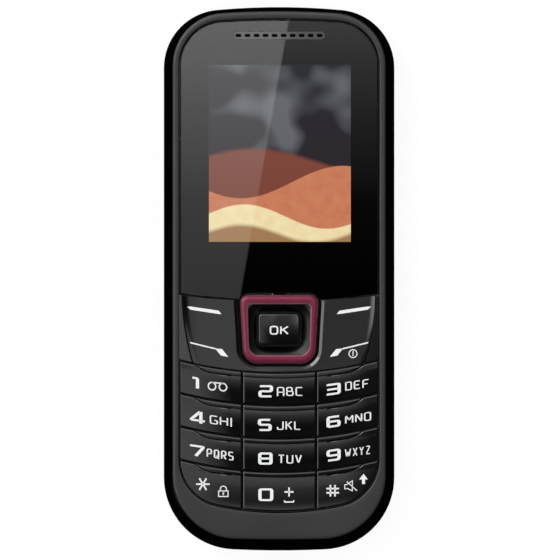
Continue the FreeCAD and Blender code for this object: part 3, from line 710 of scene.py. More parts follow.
@dataclass(frozen=True)
class Finish:
    """A moulded, painted or plated surface, with its grain, gloss, scratches, and edges lightened partly by wear and
    partly by a painted highlight.
    """

    name: str
    colour: Colour
    gloss: tuple[float, float]
    specular: float = 0.5
    metallic: float = 0.0
    coat: float = 0.0
    grain_scale: float = 4000.0
    grain_depth: float = 0.0
    mottle: float = 0.15
    # The lighter edge colour and its strength: partly rubbed wear, partly a painted highlight on the rounded edges.
    edge_wear_and_highlight_colour: Colour | None = None
    wear_and_highlight_share: float = 0.8
    scratch: float = 0.0

    def start(self) -> tuple[bpy.types.Material, Sketch, bpy.types.Node]:
        """A new material, its sketch and its Principled shader."""
        material = bpy.data.materials.new(self.name)
        material.use_nodes = True
        sketch = Sketch(material.node_tree)
        return material, sketch, material.node_tree.nodes["Principled BSDF"]

    def pattern(self, sketch: Sketch) -> object:
        """The base colour before wear: the colour with slow light and dark drifts."""
        drift = sketch.add("TexNoise", {"Vector": sketch.place(), "Scale": 60.0, "Detail": 5.0}).outputs[0]
        dark = tuple(c * (1 - self.mottle) for c in self.colour)
        light = tuple(min(1.0, c * (1 + self.mottle)) for c in self.colour)
        return sketch.mix(drift, dark, light)

    def build(self, groups: SurfaceGroups) -> bpy.types.Material:
        """Builds the material.

        Args:
            groups: the shared node groups.

        Returns:
            The material.
        """
        material, sketch, shader = self.start()
        colour = self.pattern(sketch)
        # Edges take the lighter colour by their share of edge: partly wear, partly a painted highlight.
        if self.edge_wear_and_highlight_colour is not None:
            edge = sketch.add("Attribute", attribute_name="edge_share").outputs["Fac"]
            wear_and_highlight_share = groups.place(sketch, groups.rubbed_edge(), Edge=edge, Amount=self.wear_and_highlight_share)
            colour = sketch.mix(wear_and_highlight_share, colour, self.edge_wear_and_highlight_colour)
        gloss = groups.place(sketch, groups.uneven_gloss(), Scale=110.0, Low=self.gloss[0],
                             High=self.gloss[1])
        if self.scratch > 0:
            lines = groups.place(sketch, groups.hairlines(), Scale=500.0, Amount=self.scratch)
            gloss = sketch.math("ADD", gloss, lines, True)
        sketch.tree.links.new(colour, shader.inputs["Base Color"])
        sketch.tree.links.new(gloss, shader.inputs["Roughness"])
        shader.inputs["Specular IOR Level"].default_value = self.specular
        shader.inputs["Metallic"].default_value = self.metallic
        shader.inputs["Coat Weight"].default_value = self.coat
        if self.grain_depth > 0:
            grain = groups.place(sketch, groups.grain(), Scale=self.grain_scale, Detail=2.0)
            bump = sketch.add("Bump", {"Height": grain, "Strength": 0.35,
                                       "Distance": self.grain_depth * MM})
            sketch.tree.links.new(bump.outputs[0], shader.inputs["Normal"])
        return material


@dataclass(frozen=True)
class WindowFinish(Finish):
    """Clear acrylic with a mirror polish and a grey tint, bonded to what lies under it."""

    tint: float = 0.60
    index: float = 1.49

    def build(self, groups: SurfaceGroups) -> bpy.types.Material:
        """Builds the material: a mirror with the Fresnel share, and only on the outer side.

        The sheet covers what lies under it by its tint, or by the Fresnel share where that is more,
        and the cover's colour is the Fresnel share over the cover.
        """
        material, sketch, shader = self.start()
        shader.inputs["Metallic"].default_value = 1.0
        shader.inputs["Roughness"].default_value = self.gloss[0]
        mirror = sketch.add("Fresnel", {"IOR": self.index}).outputs[0]
        outer = sketch.math("SUBTRACT", 1.0, sketch.add("NewGeometry").outputs["Backfacing"])
        cover = sketch.math("MAXIMUM", mirror, self.tint)
        sketch.tree.links.new(sketch.math("DIVIDE", mirror, cover), shader.inputs["Base Color"])
        sketch.tree.links.new(sketch.math("MULTIPLY", cover, outer), shader.inputs["Alpha"])
        return material


@dataclass(frozen=True)
class WallpaperFinish(Finish):
    """The lit display: a blurred dusk sky over three smooth hills."""

    low: tuple[float, float] = (-13.85, 7.3)
    high: tuple[float, float] = (14.3, 42.2)
    strength: float = 1.0

    def hill(self, sketch: Sketch, across: object, up: object, level: float, swing: float,
             length: float, phase: float, soft: float) -> object:
        """Mask below a wavy line: level plus swing times the sine of x over length plus phase."""
        wave = sketch.math("SINE", sketch.math("ADD", sketch.math("DIVIDE", across, length), phase))
        line = sketch.math("ADD", sketch.math("MULTIPLY", wave, swing), level)
        depth = sketch.math("SUBTRACT", line, up)
        return sketch.math("DIVIDE", depth, soft, True)

    def build(self, groups: SurfaceGroups) -> bpy.types.Material:
        """Builds the emissive picture, worked out from the place across and up the display."""
        material, sketch, shader = self.start()
        axes = sketch.add("SeparateXYZ", {0: sketch.place()})
        across = sketch.math("DIVIDE", axes.outputs[0], MM)
        up = sketch.math("DIVIDE", axes.outputs[1], MM)
        haze = sketch.add("TexNoise", {"Vector": sketch.place(), "Scale": 110.0, "Detail": 1.0}).outputs[0]
        height = sketch.math("DIVIDE", sketch.math("SUBTRACT", up, self.low[1]), self.high[1] - self.low[1])
        sky = sketch.mix(sketch.math("MULTIPLY", height, 1.0, True), (0.030, 0.020, 0.026), (0.002, 0.004, 0.010))
        sky = sketch.mix(sketch.steps(haze, ((0.50, 0.0), (0.66, 0.9)), 0.0, 1.0), sky, (0.13, 0.135, 0.155))
        far = self.hill(sketch, across, up, 23.5, 2.6, 8.0, 2.2, 0.9)
        picture = sketch.mix(far, sky, (0.20, 0.055, 0.035))
        streak = sketch.add("TexNoise", {"Vector": sketch.place(), "Scale": 420.0, "Detail": 3.0}).outputs[0]
        clay = sketch.mix(streak, (0.50, 0.15, 0.07), (0.66, 0.25, 0.13))
        middle = self.hill(sketch, across, up, 19.2, 3.2, 6.4, -0.4, 0.25)
        picture = sketch.mix(middle, picture, clay)
        cream = sketch.mix(streak, (0.80, 0.62, 0.30), (0.93, 0.82, 0.52))
        near = self.hill(sketch, across, up, 12.4, 2.4, 5.2, 2.9, 0.25)
        picture = sketch.mix(near, picture, cream)
        shade = self.hill(sketch, across, up, 9.4, 1.7, 4.6, 3.2, 0.9)
        picture = sketch.mix(shade, picture, (0.36, 0.20, 0.09))
        lit = 1.0
        for place, low, high in zip((across, up), self.low, self.high):
            for edge in (sketch.math("GREATER_THAN", place, low), sketch.math("LESS_THAN", place, high)):
                lit = sketch.math("MULTIPLY", edge, lit)
        picture = sketch.mix(lit, (0.001, 0.001, 0.0012), picture)
        shader.inputs["Base Color"].default_value = (0.01, 0.01, 0.012, 1.0)
        shader.inputs["Specular IOR Level"].default_value = 0.0
        sketch.tree.links.new(picture, shader.inputs["Emission Color"])
        shader.inputs["Emission Strength"].default_value = self.strength
        return material


@dataclass(frozen=True)
class BoardFinish(Finish):
    """Solder mask over copper tracks: a grid of lines kept in patches, with plated pads."""

    def pattern(self, sketch: Sketch) -> object:
        """Green with lighter tracks and gold pads."""
        place = sketch.place()
        tracks = sketch.add("TexBrick", {"Vector": place, "Scale": 420.0, "Mortar Size": 0.012,
                                         "Color1": (*self.colour, 1.0), "Color2": (0.004, 0.05, 0.025, 1.0),
                                         "Mortar": (0.02, 0.16, 0.07, 1.0)})
        cells = sketch.add("TexVoronoi", {"Vector": place, "Scale": 330.0}).outputs["Distance"]
        pads = sketch.math("LESS_THAN", cells, 0.16)
        return sketch.mix(pads, tracks.outputs[0], (0.55, 0.38, 0.12))


@dataclass(frozen=True)
class Palette:
    """Every finish of the phone, and the material of each once built."""

    finishes: tuple[Finish, ...]
    groups: SurfaceGroups = field(default_factory=SurfaceGroups)
    built: dict[str, bpy.types.Material] = field(default_factory=dict)

    def __getitem__(self, name: str) -> bpy.types.Material:
        """The material of a finish, built at its first use."""
        if name not in self.built:
            finish = next(f for f in self.finishes if f.name == name)
            self.built[name] = finish.build(self.groups)
        return self.built[name]


# The lighter edge colours below are partly wear and partly a painted highlight on rounded edges, strongest on the
# ring.
FINISHES = (
    Finish("satin_rim", (0.0205, 0.0205, 0.021), (0.30, 0.38), 0.31, grain_scale=6000.0, grain_depth=0.010,
           edge_wear_and_highlight_colour=(0.026, 0.026, 0.027), scratch=0.05),
    Finish("gloss_corner", (0.005, 0.005, 0.0052), (0.07, 0.11), 0.6, edge_wear_and_highlight_colour=(0.02, 0.02, 0.02)),
    Finish("key_cap", (0.0014, 0.0014, 0.0016), (0.035, 0.055), 0.5, edge_wear_and_highlight_colour=(0.004, 0.004, 0.004)),
    Finish("key_print", (0.72, 0.73, 0.74), (0.35, 0.45), 0.4, mottle=0.03),
    Finish("ring_paint", (0.145, 0.016, 0.040), (0.26, 0.34), 0.25, metallic=0.3, grain_scale=9000.0,
           grain_depth=0.004, edge_wear_and_highlight_colour=(0.30, 0.16, 0.19), wear_and_highlight_share=1.0, scratch=0.03),
    Finish("ok_cap", (0.0008, 0.0008, 0.0009), (0.14, 0.18), 0.5, edge_wear_and_highlight_colour=(0.003, 0.003, 0.003)),
    Finish("gloss_dish", (0.0008, 0.0008, 0.0009), (0.20, 0.26), 0.5),
    Finish("gloss_shell", (0.0006, 0.0006, 0.0007), (0.06, 0.12), 0.35, scratch=0.07),
    Finish("fine_textured_cover", (0.014, 0.014, 0.0145), (0.30, 0.40), 0.45, grain_scale=2600.0,
           grain_depth=0.035, scratch=0.05),
    Finish("window_mask", (0.0003, 0.0003, 0.0004), (0.35, 0.45), 0.0),
    Finish("grille_plate", (0.048, 0.048, 0.050), (0.03, 0.05), 0.5, mottle=0.05),
    Finish("receiver_felt", (0.002, 0.002, 0.002), (0.8, 0.9), 0.0),
    Finish("white_moulding", (0.62, 0.62, 0.60), (0.35, 0.5), 0.5, grain_scale=3000.0, grain_depth=0.01),
    Finish("dark_moulding", (0.012, 0.012, 0.013), (0.4, 0.5), 0.4, grain_scale=3000.0, grain_depth=0.01),
    Finish("amber_ribbon", (0.42, 0.17, 0.03), (0.2, 0.3), 0.5),
    Finish("black_rubber", (0.0008, 0.0008, 0.0008), (0.6, 0.7), 0.05),
    Finish("bright_metal", (0.66, 0.65, 0.62), (0.18, 0.32), 0.5, metallic=1.0, scratch=0.1),
    Finish("spring_gold", (0.83, 0.62, 0.28), (0.18, 0.28), 0.5, metallic=1.0),
    Finish("screw_steel", (0.42, 0.42, 0.43), (0.25, 0.35), 0.5, metallic=1.0, scratch=0.1),
    Finish("battery_film", (0.030, 0.031, 0.034), (0.28, 0.42), 0.5, grain_scale=900.0, grain_depth=0.02,
           scratch=0.05),
    Finish("label_grey", (0.30, 0.31, 0.32), (0.4, 0.5), 0.4, mottle=0.04),
    BoardFinish("circuit_board", (0.006, 0.075, 0.035), (0.25, 0.35), 0.5),
    WindowFinish("clear_window", (0.125, 0.125, 0.125), (0.0, 0.0)),
    WallpaperFinish("lit_display", (0.01, 0.01, 0.01), (0.2, 0.3), strength=2.45),
)


# Printed marks

Stroke = tuple[tuple[float, float], ...]


class Lettering:
    """A square stroke alphabet, each letter drawn by middle lines in a box one wide and one high."""

    GLYPHS: dict[str, tuple[Stroke, ...]] = {
        "0": (((0, 0), (1, 0), (1, 1), (0, 1), (0, 0)),),
        "1": (((0, 1), (1, 1), (1, 0)),),
        "2": (((0, 1), (1, 1), (1, 0.5), (0, 0.5), (0, 0), (1, 0)),),
        "3": (((0, 1), (1, 1), (1, 0), (0, 0)), ((0.04, 0.5), (1, 0.5))),
        "4": (((0.66, 1.04), (0, 0.24), (1, 0.24)), ((0.72, 1.04), (0.72, 0))),
        "5": (((1, 1), (0, 1), (0, 0.52), (1, 0.52), (1, 0), (0, 0)),),
        "6": (((1, 1), (0, 1), (0, 0), (1, 0), (1, 0.52), (0, 0.52)),),
        "7": (((0, 1), (1, 1), (0.42, 0)),),
        "8": (((0, 0), (1, 0), (1, 1), (0, 1), (0, 0)), ((0, 0.5), (1, 0.5))),
        "9": (((0, 0), (1, 0), (1, 1), (0, 1), (0, 0.48), (1, 0.48)),),
        "A": (((0, -0.08), (0, 1), (1, 1), (1, -0.08)), ((0, 0.4), (1, 0.4))),
        "B": (((0, 0), (1, 0), (1, 0.52), (0, 0.52), (0, 0)), ((0, 0.52), (0, 1), (0.84, 1), (0.84, 0.52))),
        "C": (((1, 1), (0, 1), (0, 0), (1, 0)),),
        "D": (((-0.1, 1), (1, 1), (1, 0), (-0.1, 0)), ((0, 0), (0, 1))),
        "E": (((1, 1), (0, 1), (0, 0), (1, 0)), ((0, 0.5), (0.85, 0.5))),
        "F": (((1, 1), (0, 1), (0, 0)), ((0, 0.48), (0.85, 0.48))),
        "G": (((1, 1), (0, 1), (0, 0), (1, 0), (1, 0.45), (0.55, 0.45)),),
        "H": (((0, 0), (0, 1)), ((1, 0), (1, 1)), ((0, 0.5), (1, 0.5))),
        "I": (((0.5, -0.08), (0.5, 1.08)),),
        "J": (((1, 1), (1, 0), (0, 0), (0, 0.3)),),
        "K": (((0, 0), (0, 1)), ((1, 1), (0.1, 0.48)), ((0.3, 0.6), (1, 0))),
        "L": (((0, 1), (0, 0), (1, 0)),),
        "M": (((0, 0), (0, 1), (0.5, 0.35), (1, 1), (1, 0)),),
        "N": (((0, 0), (0, 1), (1, 0), (1, 1)),),
        "O": (((0, 0), (1, 0), (1, 1), (0, 1), (0, 0)),),
        "P": (((0, 0), (0, 1), (1, 1), (1, 0.42), (0, 0.42)),),
        "Q": (((0, 0), (1, 0), (1, 1), (0, 1), (0, 0)), ((0.6, 0.3), (1.1, -0.12))),
        "R": (((0, 0), (0, 1), (1, 1), (1, 0.45), (0, 0.45)), ((0.45, 0.45), (1, 0))),
        "S": (((1, 1), (0, 1), (0, 0.5), (1, 0.5), (1, 0), (0, 0)),),
        "T": (((0, 1), (1, 1)), ((0.5, 1), (0.5, 0))),
        "U": (((0, 1), (0, 0), (1, 0), (1, 1)),),
        "V": (((0, 1), (0.5, 0), (1, 1)),),
        "W": (((0, 1), (0.26, 0), (0.5, 0.7), (0.74, 0), (1, 1)),),
        "X": (((0, 0), (1, 1)), ((0, 1), (1, 0))),
        "Y": (((0, 1), (0.5, 0.5), (1, 1)), ((0.5, 0.5), (0.5, 0))),
        "Z": (((0, 1), (1, 1), (0, 0), (1, 0)),),
        "*": (((0, 0.5), (1, 0.5)), ((0.24, 0), (0.76, 1)), ((0.24, 1), (0.76, 0))),
        "#": (((0, 0.32), (1, 0.32)), ((0, 0.68), (1, 0.68)), ((0.32, 0), (0.32, 1)), ((0.68, 0), (0.68, 1))),
        "+": (((0, 0.5), (1, 0.5)), ((0.5, 0), (0.5, 1))),
        "_": (((0, 1), (0, 0), (1, 0), (1, 1)),),
        "-": (((0, 0.5), (1, 0.5)),),
    }

    WIDTHS: dict[str, float] = {"I": 0.32, "M": 1.15, "W": 1.3}

    @classmethod
    def strokes(cls, letter: str, width: float, height: float) -> list[Array]:
        """The middle lines of a letter, in millimetres from its centre.

        Args:
            letter: a character of the table.
            width: width between the outermost middle lines.
            height: height between them.

        Returns:
            One array of plan points for each stroke.
        """
        size = np.array([width, height])
        return [(np.asarray(stroke, float) - 0.5) * size for stroke in cls.GLYPHS[letter]]


def bent(points: Array, radius: float) -> Array:
    """A run of straight lines with each corner turned in a short curve.

    Each corner is replaced by samples of the parabola from radius before it to radius after it:
    (1-t) squared times the first, 2 t (1-t) times the corner and t squared times the last.

    Args:
        points: corners of the run; a closed run repeats its first point.
        radius: how far from a corner the curve starts.

    Returns:
        The sampled run.
    """
    closed = bool(np.allclose(points[0], points[-1])) and len(points) > 3
    corners = points[:-1] if closed else points
    back = np.roll(corners, 1, axis=0) - corners
    ahead = np.roll(corners, -1, axis=0) - corners
    far_back = np.maximum(np.linalg.norm(back, axis=1, keepdims=True), 1e-9)
    far_ahead = np.maximum(np.linalg.norm(ahead, axis=1, keepdims=True), 1e-9)
    reach = np.minimum(radius, 0.45 * np.minimum(far_back, far_ahead))
    t = np.linspace(0.0, 1.0, 6)[:, None]
    runs = []
    for i, corner in enumerate(corners):
        if not closed and i in (0, len(corners) - 1):
            runs.append(corner[None])
            continue
        first = corner + back[i] / far_back[i] * reach[i]
        last = corner + ahead[i] / far_ahead[i] * reach[i]
        runs.append((1 - t) ** 2 * first + 2 * t * (1 - t) * corner + t ** 2 * last)
    joined = np.concatenate(runs + ([runs[0][:1]] if closed else []))
    return even(joined, 0.22)


def even(points: Array, step: float) -> Array:
    """The same run with samples added so that none are further apart than the step."""
    lengths = np.linalg.norm(np.diff(points, axis=0), axis=1)
    runs = [np.linspace(a, b, max(1, math.ceil(d / step)), endpoint=False)
            for a, b, d in zip(points[:-1], points[1:], lengths) if d > 1e-6]
    return np.concatenate(runs + [points[-1:]])


def circle(centre: Sequence[float], radius: float, start: float = 0.0, stop: float = 360.0) -> Array:
    """An arc as a run of points, its angles in degrees."""
    angle = np.radians(np.linspace(start, stop, 25))
    return np.asarray(centre) + radius * np.stack([np.cos(angle), np.sin(angle)], axis=-1)


@dataclass(frozen=True)
class Strip:
    """A printed band between two sides, with two ends or closed to a loop."""

    left: Array
    right: Array
    closed: bool = False

    def placed(self, lean: float, centre: Sequence[float]) -> Strip:
        """The band moved to a centre, with its level lines tipped by some degrees."""
        tip = np.array([[1.0, math.tan(math.radians(lean))], [0.0, 1.0]])
        place = np.asarray(centre)
        return Strip(self.left @ tip + place, self.right @ tip + place, self.closed)

    def slab(self, surface: Curve, rise: float = 0.02, sunk: float = 0.04) -> Form:
        """The band as a thin slab that lies on a surface.

        Args:
            surface: heights at plan points.
            rise: how far its top stands above the surface.
            sunk: how far its foot lies under it.

        Returns:
            The closed slab.
        """
        tops = [np.column_stack([side, surface(side) + rise]) for side in (self.left, self.right)]
        drop = np.array([0.0, 0.0, rise + sunk])
        rows = np.stack([tops[0], tops[1], tops[1] - drop, tops[0] - drop])
        count = len(self.left)
        quads = grid_quads(4, count, True, self.closed)
        caps = []
        if not self.closed:
            caps = [[0, count, 2 * count, 3 * count],
                    [4 * count - 1, 3 * count - 1, 2 * count - 1, count - 1]]
        return Form(rows.reshape(-1, 3), quads, caps).outward()


def band(first: Sequence[Sequence[float]], second: Sequence[Sequence[float]], mirror: bool = False) -> Strip:
    """The strip between two broken lines, each sampled at the same shares of its own length."""
    flip = np.array([-1.0 if mirror else 1.0, 1.0])
    share = np.linspace(0.0, 1.0, 33)
    return Strip(threaded(np.asarray(first, float))(share) * flip,
                 threaded(np.asarray(second, float))(share) * flip)


@dataclass(frozen=True)
class Pen:
    """An oval pen: how wide it draws upright lines and level lines."""

    upright: float
    level: float

    def strip(self, points: Array) -> Strip:
        """The band that the pen draws along a run of points.

        The plan is stretched until the pen is round with a radius of one. Each side is then the run
        moved by one along its normal, lengthened at a corner by one over the cosine of half the
        turn, and the stretch is undone.

        Args:
            points: middle line; a closed run repeats its first point.

        Returns:
            The band.
        """
        closed = bool(np.allclose(points[0], points[-1])) and len(points) > 3
        size = np.array([self.upright, self.level]) / 2
        run = (points[:-1] if closed else points) / size
        ahead = np.roll(run, -1, axis=0) - run
        back = run - np.roll(run, 1, axis=0)
        if not closed:
            ahead[-1], back[0] = back[-1], ahead[0]
        ahead /= np.maximum(np.linalg.norm(ahead, axis=1, keepdims=True), 1e-9)
        back /= np.maximum(np.linalg.norm(back, axis=1, keepdims=True), 1e-9)
        middle = ahead + back
        middle /= np.maximum(np.linalg.norm(middle, axis=1, keepdims=True), 1e-9)
        normal = np.stack([-middle[:, 1], middle[:, 0]], axis=-1)
        normal /= np.clip((middle * ahead).sum(axis=1, keepdims=True), 0.6, 1.0)
        return Strip((run + normal) * size, (run - normal) * size, closed)


@dataclass(frozen=True)
class Mark:
    """A letter or a word printed at a place, with its whole size, its lean and its pen."""

    text: str
    centre: tuple[float, float]
    size: tuple[float, float]
    lean: float = 0.0
    pen: Pen = Pen(0.29, 0.20)
    gap: float = 0.34
    turn: float = 0.3

    def strips(self) -> list[Strip]:
        """The bands of all the letters, side by side, as wide together as the mark."""
        shares = np.array([Lettering.WIDTHS.get(letter, 1.0) for letter in self.text])
        widths = shares * (self.size[0] - (len(self.text) - 1) * self.gap) / shares.sum()
        starts = np.concatenate([[0.0], np.cumsum(widths + self.gap)[:-1]]) - self.size[0] / 2
        height = self.size[1] - self.pen.level
        bands = []
        for letter, width, start in zip(self.text, widths, starts):
            shift = np.array([start + width / 2, 0.0])
            for stroke in Lettering.strokes(letter, max(width - self.pen.upright, 0.01), height):
                bands.append(self.pen.strip(bent(stroke, self.turn) + shift).placed(self.lean, self.centre))
        return bands


@dataclass(frozen=True)
class Sign:
    """A small picture sign drawn by runs of points in millimetres from its centre."""

    strokes: tuple[tuple[tuple[float, float], ...], ...]
    circles: tuple[tuple[float, float, float, float, float], ...]
    centre: tuple[float, float]
    lean: float = 0.0
    line: float = 0.28

    def strips(self) -> list[Strip]:
        """The bands of the sign, leaned and moved to its centre."""
        pen = Pen(self.line, self.line)
        runs = [even(np.asarray(s, float), 0.2) for s in self.strokes]
        runs += [circle((x, y), r, a, b) for x, y, r, a, b in self.circles]
        return [pen.strip(run).placed(self.lean, self.centre) for run in runs]


def printed(strips: Sequence[Strip], surface: Curve) -> Form:
    """Some bands as one form that lies on a surface."""
    forms = [strip.slab(surface) for strip in strips]
    whole = forms[0]
    for form in forms[1:]:
        whole = whole.joined(form)
    return whole


# The phone

SHELL = Outline(22.8, 11.5, 135.0, 53.75, 14.3, 187.0, -53.75)
FACE = Outline(21.0, 10.4, 173.0, 52.8, 12.6, 324.0, -51.4)
FIELD = Outline(19.5, 8.6, 178.0, 51.05, 9.2, 59.7, -45.85)


@dataclass(frozen=True)
class FieldLayout:
    """Lines that the window, the function keys and the number keys share."""

    row_bow: float = 80.0
    rows: tuple[float, ...] = (-18.53, -24.99, -31.52, -38.10)
    column: float = 7.3
    gap: float = 0.2
    window_bow: float = 145.0
    window_low: float = -4.41
    plate_bow: float = 50.7
    plate_centre: tuple[float, float] = (31.77, -2.23)
    crown: float = 250.0

    def crowned(self, top: float, x: Array) -> Array:
        """Height of the gentle crown: top - radius + sqrt(radius squared - x squared)."""
        return top - self.crown + np.sqrt(self.crown ** 2 - x ** 2)

    def from_row(self, row: int, places: Array) -> tuple[Array, Array]:
        """Distance outside the circle of a row line, less its gap, and the ray away from its centre."""
        centre = np.array([0.0, self.rows[row] + self.row_bow])
        ray = places - centre
        length = np.linalg.norm(ray, axis=-1)
        return length - self.row_bow, ray / length[..., None]


LAYOUT = FieldLayout()
FIELD_PATH = FIELD.path(60, 160, 160)


@dataclass(frozen=True)
class FrontFrame:
    """Satin rim and chin in one ring, and the two small corners beside the function keys."""

    top: float = 13.0
    parting: float = 11.05
    foot: float = 10.0
    outer_round: float = 0.45
    inner_round: float = 0.22
    field_gap: float = 0.3
    belly: float = 0.02
    corner_top: float = 12.75
    corner_slope: float = 0.03

    def ring(self) -> Form:
        """The ring between the face outline and the field outline.

        The profile climbs the outer wall, turns over a quarter round, crosses the top on straight
        lines from outer to inner sample with a slight belly, turns down and runs under itself.

        Returns:
            The closed ring.
        """
        outer = FACE.path()
        inner = FIELD.grown(self.field_gap).path()
        rows, share = [], []

        def put(plan: Array, z: float, edge: float) -> None:
            rows.append(np.column_stack([plan, np.full(len(plan), z)]))
            share.append(edge)

        # The shares of edge below place the rim's lighter edge colour on its rounds and wall: wear, and a painted
        # highlight.
        put(outer.points, self.parting, 0.0)
        put(outer.points, self.top - self.outer_round - 0.3, 0.3)
        for turn in np.linspace(0.0, math.pi / 2, 9):
            put(outer.moved(-self.outer_round * (1 - math.cos(turn))),
                self.top - self.outer_round * (1 - math.sin(turn)), 1.0 if 0.3 < turn < 1.4 else 0.6)
        start, stop = outer.moved(-self.outer_round), inner.moved(self.inner_round)
        for t in np.linspace(0.0, 1.0, 8)[1:-1]:
            put(start + (stop - start) * t, self.top + self.belly * 4 * t * (1 - t), 0.0)
        for turn in np.linspace(0.0, math.pi / 2, 7):
            put(inner.moved(self.inner_round * (1 - math.sin(turn))),
                self.top - self.inner_round * (1 - math.cos(turn)), 1.0 if 0.2 < turn < 1.3 else 0.5)
        put(inner.points, self.parting, 0.0)
        put(inner.points, self.foot, 0.0)
        put(inner.moved(0.5), self.foot, 0.0)
        put(inner.moved(0.5), self.parting, 0.0)
        return tube_form(np.stack(rows), np.asarray(share))

    def corner(self, side: Side) -> Form:
        """The sliver between the rim, the plate's bowed side, the window line and the first row."""
        x_rim = FIELD.half + self.field_gap + 0.2
        cx, cy = LAYOUT.plate_centre
        radius = LAYOUT.plate_bow + LAYOUT.gap
        half = LAYOUT.gap / 2
        top_y = LAYOUT.window_low + LAYOUT.window_bow
        row_y = LAYOUT.rows[0] + LAYOUT.row_bow

        def meet(disc_y: float, disc_r: float) -> float:
            """Height where the plate's side crosses a bowed line, found by halving."""
            low, high = -20.0, 0.0
            for _ in range(50):
                y = (low + high) / 2
                x = math.sqrt(radius ** 2 - (y - cy) ** 2) - cx
                inside = y > disc_y - math.sqrt(disc_r ** 2 - x ** 2)
                low, high = (low, y) if inside else (y, high)
            return (low + high) / 2

        y_top = meet(top_y, LAYOUT.window_bow + half)
        y_low = meet(row_y, LAYOUT.row_bow - half)
        lens_y = np.linspace(y_top, y_low, 80)
        lens = np.stack([np.sqrt(radius ** 2 - (lens_y - cy) ** 2) - cx, lens_y], axis=-1)
        top = bow(top_y, LAYOUT.window_bow + half, lens[0, 0], x_rim)
        low = bow(row_y, LAYOUT.row_bow - half, lens[-1, 0], x_rim)
        ends = np.array([0.0, 1.0])
        rim = chord(top(ends)[1], low(ends)[1])
        across, down = spaced(2.0, 0.1, 0.3, 0.05), spaced(13.0, 0.25, 0.3, 0.05)
        plan = coons(top, low, threaded(lens), rim, across, down)
        ray = plan - np.array([-cx, cy])
        length = np.linalg.norm(ray, axis=-1)
        gaps, normals = [length - radius], [ray / length[..., None]]
        away, rays = LAYOUT.from_row(0, plan)
        gaps.append(-half - away)
        normals.append(-rays)
        ray = plan - np.array([0.0, top_y])
        length = np.linalg.norm(ray, axis=-1)
        gaps.append(length - LAYOUT.window_bow - half)
        normals.append(ray / length[..., None])
        places, gap = round_corners(plan, np.stack(gaps), np.stack(normals), 0.2)
        ends = np.stack(gaps if side is Side.LEFT else gaps[1:]).min(axis=0)
        z = np.minimum(LAYOUT.crowned(13.25, places[..., 0]), self.corner_top) - quarter_drop(ends, 0.18)
        z += self.corner_slope * (places[..., 1] - (y_top + y_low) / 2)
        grid = np.concatenate([places, z[..., None]], axis=-1)
        grid[..., 0] *= side.value
        # The share of edge lightens the corner's rim: wear, and a painted highlight.
        return block_form(grid, self.parting, np.clip(1 - gap / 0.3, 0, 1))

    def build(self, palette: Palette) -> None:
        """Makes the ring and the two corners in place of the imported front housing."""
        ring = self.ring().piece("front_rim", palette["satin_rim"], "base", Slot.SATIN_GREY)
        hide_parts("front_housing")
        for side in (Side.LEFT, Side.RIGHT):
            piece = self.corner(side).piece(f"front_corner_{side.name.lower()}", palette["gloss_corner"],
                                            "base", Slot.SATIN_GREY)
            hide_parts("front_housing")


